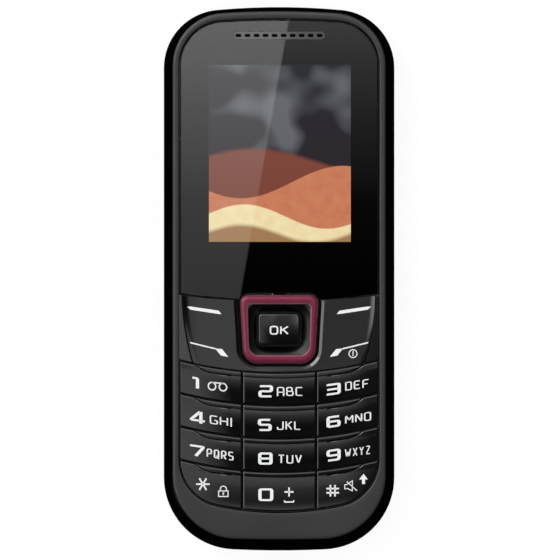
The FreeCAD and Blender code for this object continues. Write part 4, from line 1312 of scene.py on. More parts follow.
@dataclass(frozen=True)
class NumberKey:
    """One crowned key with its piece of the row's raised bar."""

    node: str
    row: int
    side: Side
    top: float = 13.4
    foot: float = 10.25
    corner: float = 0.35
    round: float = 0.22
    bar_width: float = 0.45
    bar_rise: float = 0.42
    bar_straight: float = 13.1
    bar_turn: float = 6.0
    face_start: float = 1.3
    hollow: float = 160.0
    starts: tuple[float, ...] = (-0.0035, 0.0009, 0.0052, 0.0090)
    last_slopes: Stops = ((0.0, 0.0090), (0.8, 0.0080), (1.6, 0.0074), (2.4, 0.0042), (3.2, 0.0028),
                          (4.6, 0.0012), (5.2, 0.0044), (5.6, 0.0091), (6.2, 0.0122), (8.0, 0.0150))
    bright_round: float = 0.36
    roll: Stops = ((0.0, 0.003), (0.30, 0.010), (0.42, 0.020), (0.45, 5.0), (0.51, 5.0), (0.54, -0.28),
                   (0.63, -0.28), (0.70, 0.0), (2.0, 0.0))
    curl: Stops = ((0.0, 0.003), (0.30, 0.010), (0.42, 0.020), (0.45, 1.6), (0.68, 1.6), (0.71, -0.42),
                   (0.80, -0.42), (0.84, 0.0), (2.0, 0.0))
    curl_start: float = 9.0
    curl_run: float = 3.5

    def bar_share(self, places: Array) -> Array:
        """1 on the row's raised bar and 0 below it.

        The bar fills the key from its top edge down to a line: a circle about the row's centre,
        which turns up at each end in a small tangent circle. Below that line it falls as a slow
        roll with a steep foot and a shallow groove. Past curl_start the foot grows wider, as a share
        of the wide foot that rises to 1 over curl_run.

        Args:
            places: plan points.

        Returns:
            The share at each point.
        """
        line = LAYOUT.row_bow + LAYOUT.gap / 2 + self.bar_width
        lean = math.asin(self.bar_straight / line)
        x = np.abs(places[..., 0])
        y = places[..., 1] - LAYOUT.rows[self.row] - LAYOUT.row_bow
        below = np.hypot(x, y) - line
        shift = line - self.bar_turn
        turned = np.hypot(x - shift * math.sin(lean), y + shift * math.cos(lean)) - self.bar_turn
        distance = np.where(np.arctan2(x, -y) <= lean, below, turned)
        near = np.clip(distance, 0.0, 2.0)
        plain, wide = (summed(stops, near) / summed(stops, np.array(2.0)) for stops in (self.roll, self.curl))
        share = np.clip((x - self.curl_start) / self.curl_run, 0.0, 1.0)
        return 1 - plain - share * (wide - plain)

    def face_height(self, places: Array) -> Array:
        """How much the slow crown along Y adds: the slope summed from the foot of the bar."""
        past = LAYOUT.from_row(self.row, places)[0] - self.face_start
        if self.row + 1 == len(LAYOUT.rows):
            slopes = self.last_slopes
        else:
            start = self.starts[self.row]
            slopes = ((0.0, start), (8.0, start - 8.0 / self.hollow))
        return summed(slopes, np.clip(past, 0.0, 8.0))

    def surface(self, places: Array) -> Array:
        """Height of the cap away from its edges: both crowns plus the raised bar."""
        return (LAYOUT.crowned(self.top, places[..., 0]) + self.face_height(places)
                + self.bar_rise * self.bar_share(places))

    @staticmethod
    def down(height: float) -> Array:
        """Shares down the key: close at both edges and over the foot of the bar, wider elsewhere."""
        runs = (np.arange(0.0, 0.40, 0.04), np.arange(0.40, 0.80, 0.06), np.arange(0.80, 1.45, 0.02),
                np.arange(1.45, height - 0.40, 0.15), np.linspace(height - 0.40, height, 9))
        return np.concatenate(runs) / height

    def across(self, width: float) -> Array:
        """Shares across the key, closer on an outer key where the bar curls up."""
        if self.side is Side.MIDDLE:
            return spaced(width, 0.15)
        start = FIELD.half - 16.8
        runs = (np.arange(0.0, 0.35, 0.045), np.arange(0.35, start, 0.15), np.arange(start, start + 4.0, 0.06),
                np.arange(start + 4.0, width - 0.40, 0.15), np.linspace(width - 0.40, width, 10))
        return np.concatenate(runs) / width

    def plan(self) -> tuple[Array, Array, Array]:
        """The plan grid of the key, drawn for the left or middle column.

        Returns:
            The plan points, the distance to each of the four edges, and the inward normals.
        """
        half = LAYOUT.gap / 2
        row_y = LAYOUT.rows[self.row] + LAYOUT.row_bow
        outer = self.side is not Side.MIDDLE
        x_left = -FIELD.half if outer else -LAYOUT.column + half
        x_right = -LAYOUT.column - half if outer else LAYOUT.column - half
        last = self.row + 1 == len(LAYOUT.rows)
        top = bow(row_y, LAYOUT.row_bow + half, x_left, x_right)
        ends = np.array([0.0, 1.0])
        if not last:
            next_y = LAYOUT.rows[self.row + 1] + LAYOUT.row_bow
            low = bow(next_y, LAYOUT.row_bow - half, x_left, x_right)
            left = chord(top(ends)[0], low(ends)[0])
        elif not outer:
            low = bow(FIELD.low + FIELD.low_bow, FIELD.low_bow, x_left, x_right)
            left = chord(top(ends)[0], low(ends)[0])
        else:
            x, y, turn = FIELD.corner(FIELD.half, FIELD.low_corner, FIELD.low_bow, -FIELD.low)
            first = math.pi + math.asin((-y - top(ends)[0, 1]) / FIELD.low_corner)
            middle = math.pi + turn * 0.52
            left = threaded(arc_samples((-x, -y), FIELD.low_corner, first, middle, 60)[0])
            rest = arc_samples((-x, -y), FIELD.low_corner, middle, math.pi + turn, 60)[0]
            bow_run = bow(FIELD.low + FIELD.low_bow, FIELD.low_bow, rest[-1, 0] + 0.1, x_right)
            low = threaded(np.concatenate([rest, bow_run(np.linspace(0, 1, 60))]))
            left = threaded(np.concatenate([left(np.linspace(0, 1, 60)), low(ends)[:1]]))
        right = chord(top(ends)[1], low(ends)[1])
        width = x_right - x_left
        height = LAYOUT.rows[self.row] - (FIELD.low if last else LAYOUT.rows[self.row + 1])
        plan = coons(top, low, left, right, self.across(width), self.down(height))
        above, rays = LAYOUT.from_row(self.row, plan)
        gaps, normals = [above - half], [rays]
        if not last:
            below, rays = LAYOUT.from_row(self.row + 1, plan)
            gaps.append(-half - below)
            normals.append(-rays)
        right_ray = np.broadcast_to(np.array([-1.0, 0.0]), plan.shape)
        gaps.append(x_right - plan[..., 0])
        normals.append(right_ray)
        if outer or last:
            away, rays = FIELD_PATH.outside(plan)
            gaps.append(-away)
            normals.append(-rays)
        if not outer:
            gaps.append(plan[..., 0] - x_left)
            normals.append(-right_ray)
        return plan, np.clip(np.stack(gaps), 0.0, None), np.stack(normals)

    def build(self, palette: Palette, strips: Sequence[Strip]) -> None:
        """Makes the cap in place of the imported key, and the print on it.

        Args:
            palette: the finishes.
            strips: what is printed on the key.
        """
        plan, gaps, normals = self.plan()
        places, gap = round_corners(plan, gaps, normals, self.corner)
        drop = quarter_drop(gap, self.round)
        drop = np.maximum(drop, quarter_drop(gaps[0], self.bright_round))
        if self.side is not Side.LEFT:
            bright = 0 if self.side is Side.MIDDLE else -1
            lit = np.abs(plan[..., 0] - plan[..., bright, 0][..., None])
            drop = np.maximum(drop, quarter_drop(lit, self.bright_round))
        height = self.surface(places) - drop
        grid = np.concatenate([places, height[..., None]], axis=-1)
        if self.side is Side.RIGHT:
            grid[..., 0] *= -1
        # The cap's share of edge lightens its rim: wear, and a painted highlight.
        share = np.clip(1 - gap / 0.3, 0, 1)
        cap = block_form(grid, self.foot, share).piece(f"{self.node}_cap", palette["key_cap"], self.node,
                                                       Slot.KEY)
        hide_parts(self.node)
        printed(strips, self.surface).piece(f"{self.node}_print", palette["key_print"], self.node,
                                           Slot.WHITE_PLASTIC)


@dataclass(frozen=True)
class Keypad:
    """The twelve number keys and their print."""

    lean: float = 8.0
    up: float = 0.14

    def digit(self, text: str, x: float, y: float, width: float, height: float, lean: float = 0.0) -> Mark:
        """A large heavy figure."""
        return Mark(text, (x, y + self.up), (width, height), lean, Pen(0.64, 0.39), turn=0.36)

    def word(self, text: str, x: float, y: float, width: float, height: float = 1.75,
             lean: float = 0.0) -> Mark:
        """A small word of letters."""
        return Mark(text, (x - 0.08, y + self.up), (width, height), lean)

    def prints(self) -> dict[str, list[Strip]]:
        """What is printed on each key."""
        fall, rise = -self.lean, self.lean
        tape = Sign((((-1.08, 0.74), (1.08, 0.74)),), ((-1.08, 0.0, 0.74, 0, 360), (1.08, 0.0, 0.74, 0, 360)),
                    (-12.15, -21.27), -5.0, 0.25)
        lock = Sign((((-0.93, -0.55), (0.93, -0.55), (0.93, 0.55), (-0.93, 0.55), (-0.93, -0.55)),
                     ((0.0, -0.28), (0.0, 0.12)), ((-0.6, 0.55), (-0.6, 0.9)), ((0.6, 0.55), (0.6, 0.9))),
                    ((0.0, 0.9, 0.6, 0, 180), (0.0, 0.1, 0.09, 0, 360)), (-11.0, -42.38), 0, 0.20)
        silent = Sign((((-1.2, -0.4), (-0.7, -0.4), (0.3, -1.0), (0.3, 1.0), (-0.7, 0.4), (-1.2, 0.4),
                        (-1.2, -0.4)), ((-0.8, 1.0), (1.2, -1.1))), (), (14.15, -40.85), rise, 0.17)
        arrow = [band(((-0.86, 0.0), (0.0, 1.1)), ((0.86, 0.0), (0.0, 1.1))).placed(0, (16.65, -39.57)),
                 band(((-0.30, 0.05), (-0.30, -0.9)), ((0.30, 0.05), (0.30, -0.9))).placed(0, (16.65, -39.57))]
        marks = {
            "key_1": (self.digit("1", -16.6, -20.70, 1.65, 2.4, fall), tape),
            "key_2": (self.digit("2", -2.64, -22.31, 2.9, 2.4), self.word("ABC", 2.21, -22.35, 5.15)),
            "key_3": (self.digit("3", 10.62, -21.9, 3.1, 2.25, rise),
                      self.word("DEF", 15.47, -21.05, 4.75, 1.7, rise)),
            "key_4": (self.digit("4", -16.05, -27.5, 3.45, 2.6, fall),
                      self.word("GHI", -11.36, -28.16, 4.5, 1.7, fall)),
            "key_5": (self.digit("5", -2.82, -28.95, 2.75, 2.4), self.word("JKL", 2.01, -29.05, 4.75)),
            "key_6": (self.digit("6", 10.74, -28.28, 2.8, 2.25, rise),
                      self.word("MNO", 15.67, -27.56, 5.15, 1.7, rise)),
            "key_7": (self.digit("7", -16.21, -34.12, 3.35, 2.35, fall),
                      self.word("PQRS", -11.55, -34.79, 5.35, 1.7, fall)),
            "key_8": (self.digit("8", -2.70, -35.58, 2.85, 2.4), self.word("TUV", 2.21, -35.68, 4.75)),
            "key_9": (self.digit("9", 10.74, -34.9, 2.8, 2.3, rise),
                      Mark("WXYZ", (15.49, -34.05), (5.05, 1.7), rise, Pen(0.23, 0.19))),
            "key_star": (Mark("*", (-15.03, -40.5), (3.0, 2.6), pen=Pen(0.32, 0.32)), lock),
            "key_0": (self.digit("0", -2.62, -42.71, 2.95, 2.5),
                      Mark("+", (1.96, -42.02), (2.1, 2.1), pen=Pen(0.31, 0.31)),
                      Mark("_", (1.96, -43.84), (2.05, 0.58), pen=Pen(0.25, 0.25))),
            "key_hash": (Mark("#", (10.57, -41.78), (2.8, 2.6), pen=Pen(0.32, 0.32)), silent),
        }
        strips = {key: [strip for mark in group for strip in mark.strips()] for key, group in marks.items()}
        strips["key_hash"] += arrow
        return strips

    def build(self, palette: Palette) -> None:
        """Makes all twelve keys."""
        names = (("key_1", "key_2", "key_3"), ("key_4", "key_5", "key_6"), ("key_7", "key_8", "key_9"),
                 ("key_star", "key_0", "key_hash"))
        prints = self.prints()
        for row, nodes in enumerate(names):
            for side, node in zip(Side, nodes):
                NumberKey(node, row, side).build(palette, prints[node])


@dataclass(frozen=True)
class FunctionPlate:
    """The U-shaped plate of the four function keys, bevelled down to the navigation well."""

    top: float = 13.25
    foot: float = 10.7
    bevel_drop: float = 0.43
    bevel_run: float = 0.95
    well_round: float = 0.4
    round: float = 0.08
    side_bevel: float = 1.1
    side_slope: float = 0.06

    def well(self) -> PlanPath:
        """The well's edge: the ring's outline and the gap round it."""
        return NavigationPad().outline(0.3).path(60, 160)

    def grid(self) -> tuple[Array, Array]:
        """The plate's top: a Coons grid from the well's edge to the outer edge.

        Returns:
            The surface grid and the share of edge.
        """
        half = LAYOUT.gap / 2
        top_y = LAYOUT.window_low + LAYOUT.window_bow
        top_r = LAYOUT.window_bow + half
        row_y = LAYOUT.rows[0] + LAYOUT.row_bow
        row_r = LAYOUT.row_bow - half
        cx, cy = LAYOUT.plate_centre
        well = self.well()
        under = np.hypot(well.points[:, 0], well.points[:, 1] - top_y) > top_r
        order = np.argsort(np.arctan2(-well.points[:, 0], -(well.points[:, 1] + 9.0)))
        run = well.points[order][under[order]]
        side_y = np.linspace(-3.0, -18.0, 900)
        side_x = np.sqrt(LAYOUT.plate_bow ** 2 - (side_y - cy) ** 2) - cx
        kept = (np.hypot(side_x, side_y - top_y) >= top_r) & (np.hypot(side_x, side_y - row_y) <= row_r)
        right_side = np.stack([side_x[kept], side_y[kept]], axis=-1)
        left_side = right_side * np.array([-1.0, 1.0])
        row_line = bow(row_y, row_r, left_side[-1, 0], right_side[-1, 0])(np.linspace(0, 1, 200))
        if run[0, 0] > 0:
            run = run[::-1]
        first_low = int(np.argmin(np.hypot(run[:, 0] + 6.4, run[:, 1] + 16.4)))
        last_low = int(np.argmin(np.hypot(run[:, 0] - 6.4, run[:, 1] + 16.4)))
        legs = ((left_side, run[:first_low + 1], 12.5), (row_line, run[first_low:last_low + 1], 30.0),
                (right_side[::-1], run[last_low:], 12.5))
        outer, inner = [], []
        for edge, hole, length in legs:
            share = spaced(length, 0.2)
            outer.append(threaded(edge)(share)[:-1])
            inner.append(threaded(hole)(share)[:-1])
        outer.append(legs[-1][0][-1:])
        inner.append(legs[-1][1][-1:])
        rim, hole = np.concatenate(outer), np.concatenate(inner)
        across = spaced(6.0, 0.12, 0.8, 0.06)
        along = np.linspace(0.0, 1.0, len(rim))

        def by_index(points: Array) -> Curve:
            return lambda share: np.stack([np.interp(share, along, points[:, k]) for k in (0, 1)], axis=-1)

        left_end = bow(top_y, top_r, rim[0, 0], hole[0, 0])
        right_end = bow(top_y, top_r, rim[-1, 0], hole[-1, 0])
        plan = coons(by_index(rim), by_index(hole), left_end, right_end, along, across)
        away, rays = LAYOUT.from_row(0, plan)
        gaps, normals = [-half - away], [-rays]
        ray = plan - np.array([0.0, top_y])
        length = np.linalg.norm(ray, axis=-1)
        gaps.append(length - top_r)
        normals.append(ray / length[..., None])
        for sign in (-1, 1):
            ray = plan - np.array([-sign * cx, cy])
            length = np.linalg.norm(ray, axis=-1)
            gaps.append(LAYOUT.plate_bow - length)
            normals.append(-ray / length[..., None])
        places, gap = round_corners(plan, np.clip(np.stack(gaps), 0, None), np.stack(normals), 0.3)
        from_well = np.clip(well.outside(places)[0], 0.0, None)
        ends = np.clip(np.stack(gaps[:2]).min(axis=0), 0.0, None)
        crown = LAYOUT.crowned(self.top, places[..., 0]) - quarter_drop(ends, self.round)
        from_side = np.clip(np.stack(gaps[2:]).min(axis=0), 0.0, self.side_bevel)
        crown -= self.side_slope * (self.side_bevel - from_side) ** 2 / (2 * self.side_bevel)
        left = np.clip(1 - from_well / self.bevel_run, 0.0, 1.0)
        z = crown - self.bevel_drop * left - quarter_drop(from_well, self.well_round)
        # The share of edge is high near the plate's edges and in a band 0.7 mm out from the well, across the bevel: a
        # painted highlight line, besides wear at the edges.
        edge = np.maximum(np.clip(1 - gap / 0.3, 0, 1), 0.8 * np.clip(1 - abs(from_well - 0.7) / 0.3, 0, 1))
        return np.concatenate([places, z[..., None]], axis=-1), edge

    def surface(self, places: Array) -> Array:
        """Height of the plate away from its edges."""
        return LAYOUT.crowned(self.top, places[..., 0])

    def marks(self) -> Form:
        """The dashes of the soft keys, the call and end strokes and the power sign."""
        dash = (((-18.15, -5.50), (-17.6, -5.45), (-11.94, -6.28), (-11.35, -6.95)),
                ((-18.15, -5.50), (-17.47, -6.09), (-12.02, -6.93), (-11.35, -6.95)))
        line = (((-17.6, -12.44), (-12.4, -13.70)), ((-17.5, -12.74), (-12.3, -14.0)))
        gem = (((-12.6, -13.74), (-11.26, -13.85), (-10.0, -15.42)),
               ((-12.6, -13.74), (-11.49, -15.13), (-10.0, -15.42)))
        strips = [band(*sides, mirror=mirror) for mirror in (False, True) for sides in (dash, line, gem)]
        power = Sign((((0.0, -0.48), (0.0, 0.48)),), ((0.0, 0.0, 0.79, 0, 360),), (14.58, -14.76), 0, 0.19)
        return printed(strips + power.strips(), self.surface)

    def build(self, palette: Palette) -> None:
        """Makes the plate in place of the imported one, and its marks."""
        grid, edge = self.grid()
        plate = block_form(grid, self.foot, edge).piece("function_plate_cap", palette["key_cap"],
                                                        "function_keys", Slot.KEY)
        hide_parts("function_key_plate")
        self.marks().piece("function_plate_print", palette["key_print"], "function_keys", Slot.WHITE_PLASTIC)


@dataclass(frozen=True)
class NavigationPad:
    """The burgundy ring, the dark dish inside it and the crowned middle key."""

    centre_y: float = -9.94
    ring_top: float = 13.8
    ring_foot: float = 10.7
    ring_round: float = 0.8
    bore_round: float = 0.35
    dish_low: float = 11.5
    dish_rise: float = 4.6
    dish_power: float = 3.5
    dish_foot: float = 11.2
    key_size: tuple[float, float] = (8.28, 6.24)
    key_corner: float = 0.9
    key_top: float = 13.15
    key_foot: float = 10.25
    key_crown: float = 40.0
    key_tilt: tuple[float, float] = (0.02, -0.03)
    key_round: float = 0.35
    key_gap: float = 0.35

    def outline(self, extra: float = 0.0) -> RoundedShape:
        """Outer edge of the ring, moved outwards by extra."""
        return tapered_frame(-3.19, -16.67, 7.82, 7.0, 1.7, 2.9, extra)

    def bore(self, extra: float = 0.0) -> RoundedShape:
        """Inner edge of the ring, moved outwards by extra."""
        return tapered_frame(-5.0, -15.02, 6.2, 5.9, 0.8, 2.0, extra)

    def key_shape(self, extra: float) -> RoundedShape:
        """Outline of the middle key, moved outwards by extra."""
        a, b = self.key_size[0] / 2, self.key_size[1] / 2
        return tapered_frame(self.centre_y + b, self.centre_y - b, a, a, self.key_corner, self.key_corner, extra)

    def ring(self) -> Form:
        """The ring: straight walls, a quarter round outside and a smaller one inside."""
        outer, inner = self.outline().path(), self.bore().path()
        rows, share = [], []
        # The shares of edge below lighten the ring's outer and inner rounds with the pinkish grey: wear, and a
        # painted highlight.
        rows.append(np.column_stack([outer.points, np.full(len(outer.points), self.ring_foot)]))
        share.append(0.0)
        for turn in np.linspace(0.0, math.pi / 2, 13):
            plan = outer.moved(-self.ring_round * (1 - math.cos(turn)))
            z = self.ring_top - self.ring_round * (1 - math.sin(turn))
            rows.append(np.column_stack([plan, np.full(len(plan), z)]))
            share.append(float(np.clip(1.0 - turn / 0.9, 0, 1)))
        for turn in np.linspace(0.0, math.pi / 2, 8):
            plan = inner.moved(self.bore_round * (1 - math.sin(turn)))
            z = self.ring_top - self.bore_round * (1 - math.cos(turn))
            rows.append(np.column_stack([plan, np.full(len(plan), z)]))
            share.append(float(np.clip(turn / 0.9, 0, 1)))
        rows.append(np.column_stack([inner.points, np.full(len(inner.points), self.ring_foot)]))
        share.append(0.0)
        return tube_form(np.stack(rows), np.asarray(share))

    def dish_height(self, plan: Array) -> Array:
        """Height of the bowl, which grows with the radius of a rounded rectangle.

        That radius is the root of the sum of x over its half width and y over its half height, each
        raised to a power, with the root of the same power: 1 on the bore's sides.

        Args:
            plan: plan points.

        Returns:
            The height at each point.
        """
        top, low, half = -5.0, -15.02, 6.1
        x = np.abs(plan[..., 0]) / half
        y = np.abs(plan[..., 1] - (top + low) / 2) / ((top - low) / 2)
        radius = (x ** self.dish_power + y ** self.dish_power) ** (1 / self.dish_power)
        return np.minimum(self.dish_low + self.dish_rise * (radius - 0.7), self.ring_top - 0.5)

    def dish(self) -> Form:
        """The dish: a bowl from the ring's bore down to the hole of the middle key."""
        outer, inner = self.bore(-0.02).path().points, self.key_shape(self.key_gap).path().points
        rows, share = [np.column_stack([outer, np.full(len(outer), self.dish_foot)])], [0.0]
        for t in np.linspace(0.0, 1.0, 14):
            plan = outer + (inner - outer) * t
            rows.append(np.column_stack([plan, self.dish_height(plan)]))
            share.append(0.0)
        rows.append(np.column_stack([inner, np.full(len(inner), self.dish_foot)]))
        return tube_form(np.stack(rows), np.asarray(share + [0.0]))

    def key_surface(self, places: Array) -> Array:
        """Crown of the middle key, a ball cap: top - radius + sqrt(radius squared - distance squared).

        The distance is taken from where the cap is level, which lies off the middle because the key
        leans a little away from it.
        """
        x = places[..., 0] + self.key_tilt[0] * self.key_crown
        y = places[..., 1] - self.centre_y + self.key_tilt[1] * self.key_crown
        return self.key_top - self.key_crown + np.sqrt(self.key_crown ** 2 - x ** 2 - y ** 2)

    def key(self) -> Form:
        """The middle key: a rectangle with round corners, a crown across it and rounded edges."""
        a, b = self.key_size[0] / 2, self.key_size[1] / 2
        x = (spaced(2 * a, 0.12, 0.95, 0.06) - 0.5) * 2 * a
        y = (0.5 - spaced(2 * b, 0.12, 0.95, 0.06)) * 2 * b + self.centre_y
        plan = np.stack(np.meshgrid(x, y), axis=-1)
        gaps = np.stack([plan[..., 0] + a, a - plan[..., 0], plan[..., 1] - self.centre_y + b,
                         b - plan[..., 1] + self.centre_y])
        axes = np.array([(1.0, 0.0), (-1.0, 0.0), (0.0, 1.0), (0.0, -1.0)])
        normals = np.broadcast_to(axes[:, None, None, :], (4, *plan.shape))
        places, gap = round_corners(plan, gaps, normals, self.key_corner)
        z = self.key_surface(places) - quarter_drop(gap, self.key_round)
        grid = np.concatenate([places, z[..., None]], axis=-1)
        # The share of edge lightens the key's rim: wear, and a painted highlight.
        return block_form(grid, self.key_foot, np.clip(1 - gap / 0.4, 0, 1))

    def build(self, palette: Palette) -> None:
        """Makes the ring, the dish, the middle key and its print."""
        ring = self.ring().piece("nav_ring_body", palette["ring_paint"], "nav_ring", Slot.RING)
        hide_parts("nav_ring")
        dish = self.dish().piece("nav_dish_bowl", palette["gloss_dish"], "nav_ring", Slot.DISH)
        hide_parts("nav_dish")
        key = self.key().piece("ok_key_cap", palette["ok_cap"], "ok_key", Slot.KEY)
        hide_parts("ok_key")
        word = Mark("OK", (0.02, -10.14), (3.75, 1.75), 0, Pen(0.31, 0.27), gap=0.36, turn=0.45)
        printed(word.strips(), self.key_surface).piece("ok_key_print", palette["key_print"], "ok_key",
                                              Slot.WHITE_PLASTIC)


@dataclass(frozen=True)
class RearShell:
    """The gloss side band and the textured battery cover, as smooth skins."""

    def build(self, palette: Palette, frame: dict) -> None:
        """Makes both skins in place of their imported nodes."""
        welded_copy("rear_shell", "rear_housing", frame, palette["gloss_shell"], "base", 32.0)
        welded_copy("back_cover", "battery_cover", frame, palette["fine_textured_cover"], "cover",
                    32.0)


@dataclass(frozen=True)
class Insides:
    """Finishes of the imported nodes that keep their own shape."""

    finishes: tuple[tuple[str, str], ...] = (
        ("display_window", "clear_window"), ("window_mask", "window_mask"),
        ("earpiece_grille", "grille_plate"), ("earpiece_receiver", "receiver_felt"),
        ("display_panel", "lit_display"), ("display_frame", "white_moulding"),
        ("display_flex", "amber_ribbon"), ("nav_ring_web", "black_rubber"),
        ("function_key_web", "black_rubber"), ("keypad_mat", "dark_moulding"),
        ("switch_domes", "bright_metal"), ("keypad_lights", "white_moulding"),
        ("main_board", "circuit_board"), ("shield_can", "bright_metal"),
        ("sim_card_holder", "bright_metal"), ("sim_card", "white_moulding"), ("battery", "battery_film"),
        ("battery_contacts", "dark_moulding"), ("loudspeaker", "dark_moulding"),
        ("microphone", "bright_metal"), ("vibration_motor", "bright_metal"),
        ("motor_weight", "screw_steel"), ("headset_socket", "dark_moulding"),
        ("charge_port", "bright_metal"), ("antenna", "spring_gold"), ("housing_screws", "screw_steel"),
    )

    felt_centre: tuple[float, float] = (0.0, 48.0)
    felt_half: tuple[float, float] = (8.9, 0.7)
    felt_height: tuple[float, float] = (11.702, 11.717)

    def felt(self) -> Form:
        """The thin felt that keeps dust out of the earpiece, under the holes of its grille."""
        x, y = (np.array([-half, half]) + middle for half, middle in zip(self.felt_half, self.felt_centre))
        top = np.stack(np.broadcast_arrays(x[None, :], y[::-1, None], self.felt_height[1]), axis=-1)
        return block_form(top, self.felt_height[0], np.zeros((2, 2)))

    def build(self, palette: Palette, frame: dict) -> None:
        """Gives each kept node its finish, and adds the felt."""
        self.felt().piece("earpiece_felt", palette["receiver_felt"], "base", Slot.GRILLE)
        for node, finish in self.finishes:
            mesh = frame["nodes"][node].data
            mesh.materials.clear()
            mesh.materials.append(palette[finish])
            LOG.info("%s: %s", node, finish)


@dataclass(frozen=True)
class Lobe:
    """A patch of light in the room: its bearing, how narrow it is, its heights and its weight."""

    bearing: tuple[float, float]
    power: float
    heights: Stops
    weight: float


